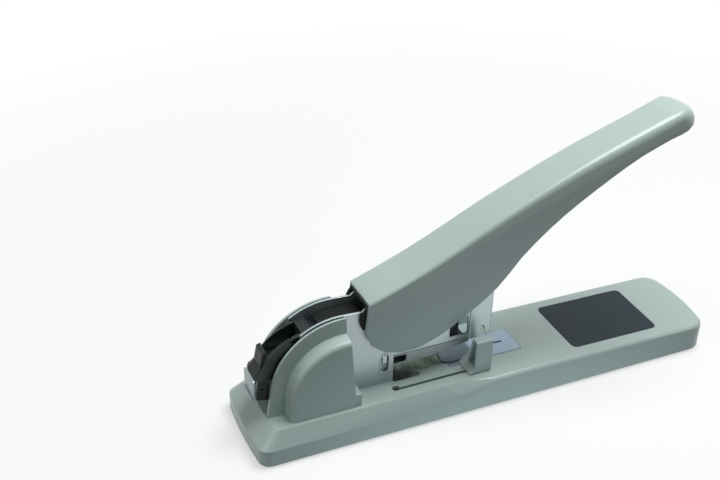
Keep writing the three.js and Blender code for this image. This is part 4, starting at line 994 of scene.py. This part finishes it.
class STAPLER_OT_studio(bpy.types.Operator):
    """Set up the floor, lamps, surroundings and camera"""

    bl_idname = "stapler.studio"
    bl_label = "Studio"

    def execute(self, context):
        studio = context.scene.stapler_studio
        self.floor()
        for kind, (name, place, size) in LAMPS.items():
            self.lamp(name, place, size, getattr(studio, kind))
        self.surroundings(studio.ambient)
        self.camera()
        context.scene.view_settings.view_transform = "Standard"
        return {"FINISHED"}

    def floor(self):
        bpy.ops.object.select_all(action="DESELECT")
        bpy.ops.mesh.primitive_plane_add(size=FLOOR_SIZE, location=(0, 0, -FLOOR_DROP))
        floor = bpy.context.object
        floor.name = "studio_floor"
        material = bpy.data.materials.new("Studio floor")
        material.use_nodes = True
        tree = material.node_tree
        tree.nodes.clear()
        card = add(tree, "ShaderNodeBsdfDiffuse", values={"Color": CARD})
        paper = add(tree, "ShaderNodeEmission", values={"Color": WHITE, "Strength": 1.0})
        bounced = add(tree, "ShaderNodeBsdfDiffuse")
        place = add(tree, "ShaderNodeTexCoord")
        distance = add(tree, "ShaderNodeVectorMath", operation="LENGTH")
        whiter = fade(tree, distance.outputs["Value"], WHITE_FADE, WHITE_SHARE, 1.0)
        darker = fade(tree, distance.outputs["Value"], BOUNCE_FADE, 1.0, 0.0)
        tint = add(tree, "ShaderNodeMix", data_type="RGBA", values={COLOR_A: BLACK, COLOR_B: BOUNCED_TINT})
        end = add(tree, "ShaderNodeOutputMaterial")
        link = tree.links.new
        link(place.outputs["Object"], distance.inputs[0])
        link(darker, tint.inputs[FACTOR])
        link(tint.outputs[COLOR_OUT], bounced.inputs["Color"])
        shown = mix_shaders(tree, whiter, card, paper)
        seen = seen_by(tree, "Is Camera Ray", "Is Glossy Ray")
        link(mix_shaders(tree, seen, bounced, shown).outputs[0], end.inputs["Surface"])
        floor.data.materials.append(material)

    def lamp(self, name, place, size, power):
        bpy.ops.object.light_add(type="AREA", location=place)
        lamp = bpy.context.object
        lamp.name = name
        lamp.data.shape = "DISK"
        lamp.data.size = size
        lamp.data.energy = power
        lamp.rotation_euler = Vector(place).to_track_quat("Z", "Y").to_euler()

    def surroundings(self, strength):
        world = bpy.data.worlds.new("Studio")
        bpy.context.scene.world = world
        world.use_nodes = True
        tree = world.node_tree
        tree.nodes.clear()
        ambient = add(tree, "ShaderNodeBackground", values={"Color": AMBIENT_TINT, "Strength": strength})
        white = add(tree, "ShaderNodeBackground", values={"Color": WHITE, "Strength": 1.0})
        end = add(tree, "ShaderNodeOutputWorld")
        seen = seen_by(tree, "Is Camera Ray", "Is Glossy Ray", "Is Transmission Ray")
        tree.links.new(mix_shaders(tree, seen, ambient, white).outputs[0], end.inputs["Surface"])

    def camera(self):
        azimuth, elevation, roll = (math.radians(angle) for angle in (AZIMUTH, ELEVATION, ROLL))
        back = Vector((
            math.sin(azimuth) * math.cos(elevation),
            -math.cos(azimuth) * math.cos(elevation),
            math.sin(elevation),
        ))
        right = (-back).cross(Vector((0, 0, 1))).normalized()
        up = right.cross(-back)
        across = right * math.cos(roll) + up * math.sin(roll)
        upward = -right * math.sin(roll) + up * math.cos(roll)
        place = AIM + back * DISTANCE
        turn = Matrix((across, upward, back)).transposed().to_4x4()
        bpy.ops.object.camera_add(location=place)
        camera = bpy.context.object
        camera.matrix_world = Matrix.Translation(place) @ turn
        camera.data.lens = LENS
        camera.data.sensor_width = SENSOR
        camera.data.shift_x, camera.data.shift_y = SHIFT
        camera.data.clip_start = 0.01
        bpy.context.scene.camera = camera


class STAPLER_PT_panel(bpy.types.Panel):
    bl_label = "Stapler"
    bl_idname = "STAPLER_PT_panel"
    bl_space_type = "VIEW_3D"
    bl_region_type = "UI"
    bl_category = "Stapler"

    def draw(self, context):
        layout = self.layout
        scene = context.scene
        for kind in SETTINGS:
            group = getattr(scene, f"stapler_{kind}")
            box = layout.box()
            for name in group.__annotations__:
                box.prop(group, name)
        for step in STEPS:
            layout.operator(step.bl_idname)


STEPS = (
    STAPLER_OT_base, STAPLER_OT_covers, STAPLER_OT_frame, STAPLER_OT_arm, STAPLER_OT_driver,
    STAPLER_OT_drawer, STAPLER_OT_lever, STAPLER_OT_guide, STAPLER_OT_fasteners, STAPLER_OT_springs,
    STAPLER_OT_studio,
)
SETTINGS = {
    "finishes": STAPLER_PG_finishes,
    "edges": STAPLER_PG_edges,
    "lever": STAPLER_PG_lever,
    "wires": STAPLER_PG_wires,
    "studio": STAPLER_PG_studio,
}
CLASSES = (*SETTINGS.values(), *STEPS, STAPLER_PT_panel)


def register():
    for each in CLASSES:
        bpy.utils.register_class(each)
    for kind, group in SETTINGS.items():
        setattr(bpy.types.Scene, f"stapler_{kind}", bpy.props.PointerProperty(type=group))


def unregister():
    for kind in SETTINGS:
        delattr(bpy.types.Scene, f"stapler_{kind}")
    for each in reversed(CLASSES):
        bpy.utils.unregister_class(each)


def main():
    register()
    for step in STEPS:
        area, name = step.bl_idname.split(".")
        getattr(getattr(bpy.ops, area), name)()


if __name__ == "__main__":
    main()
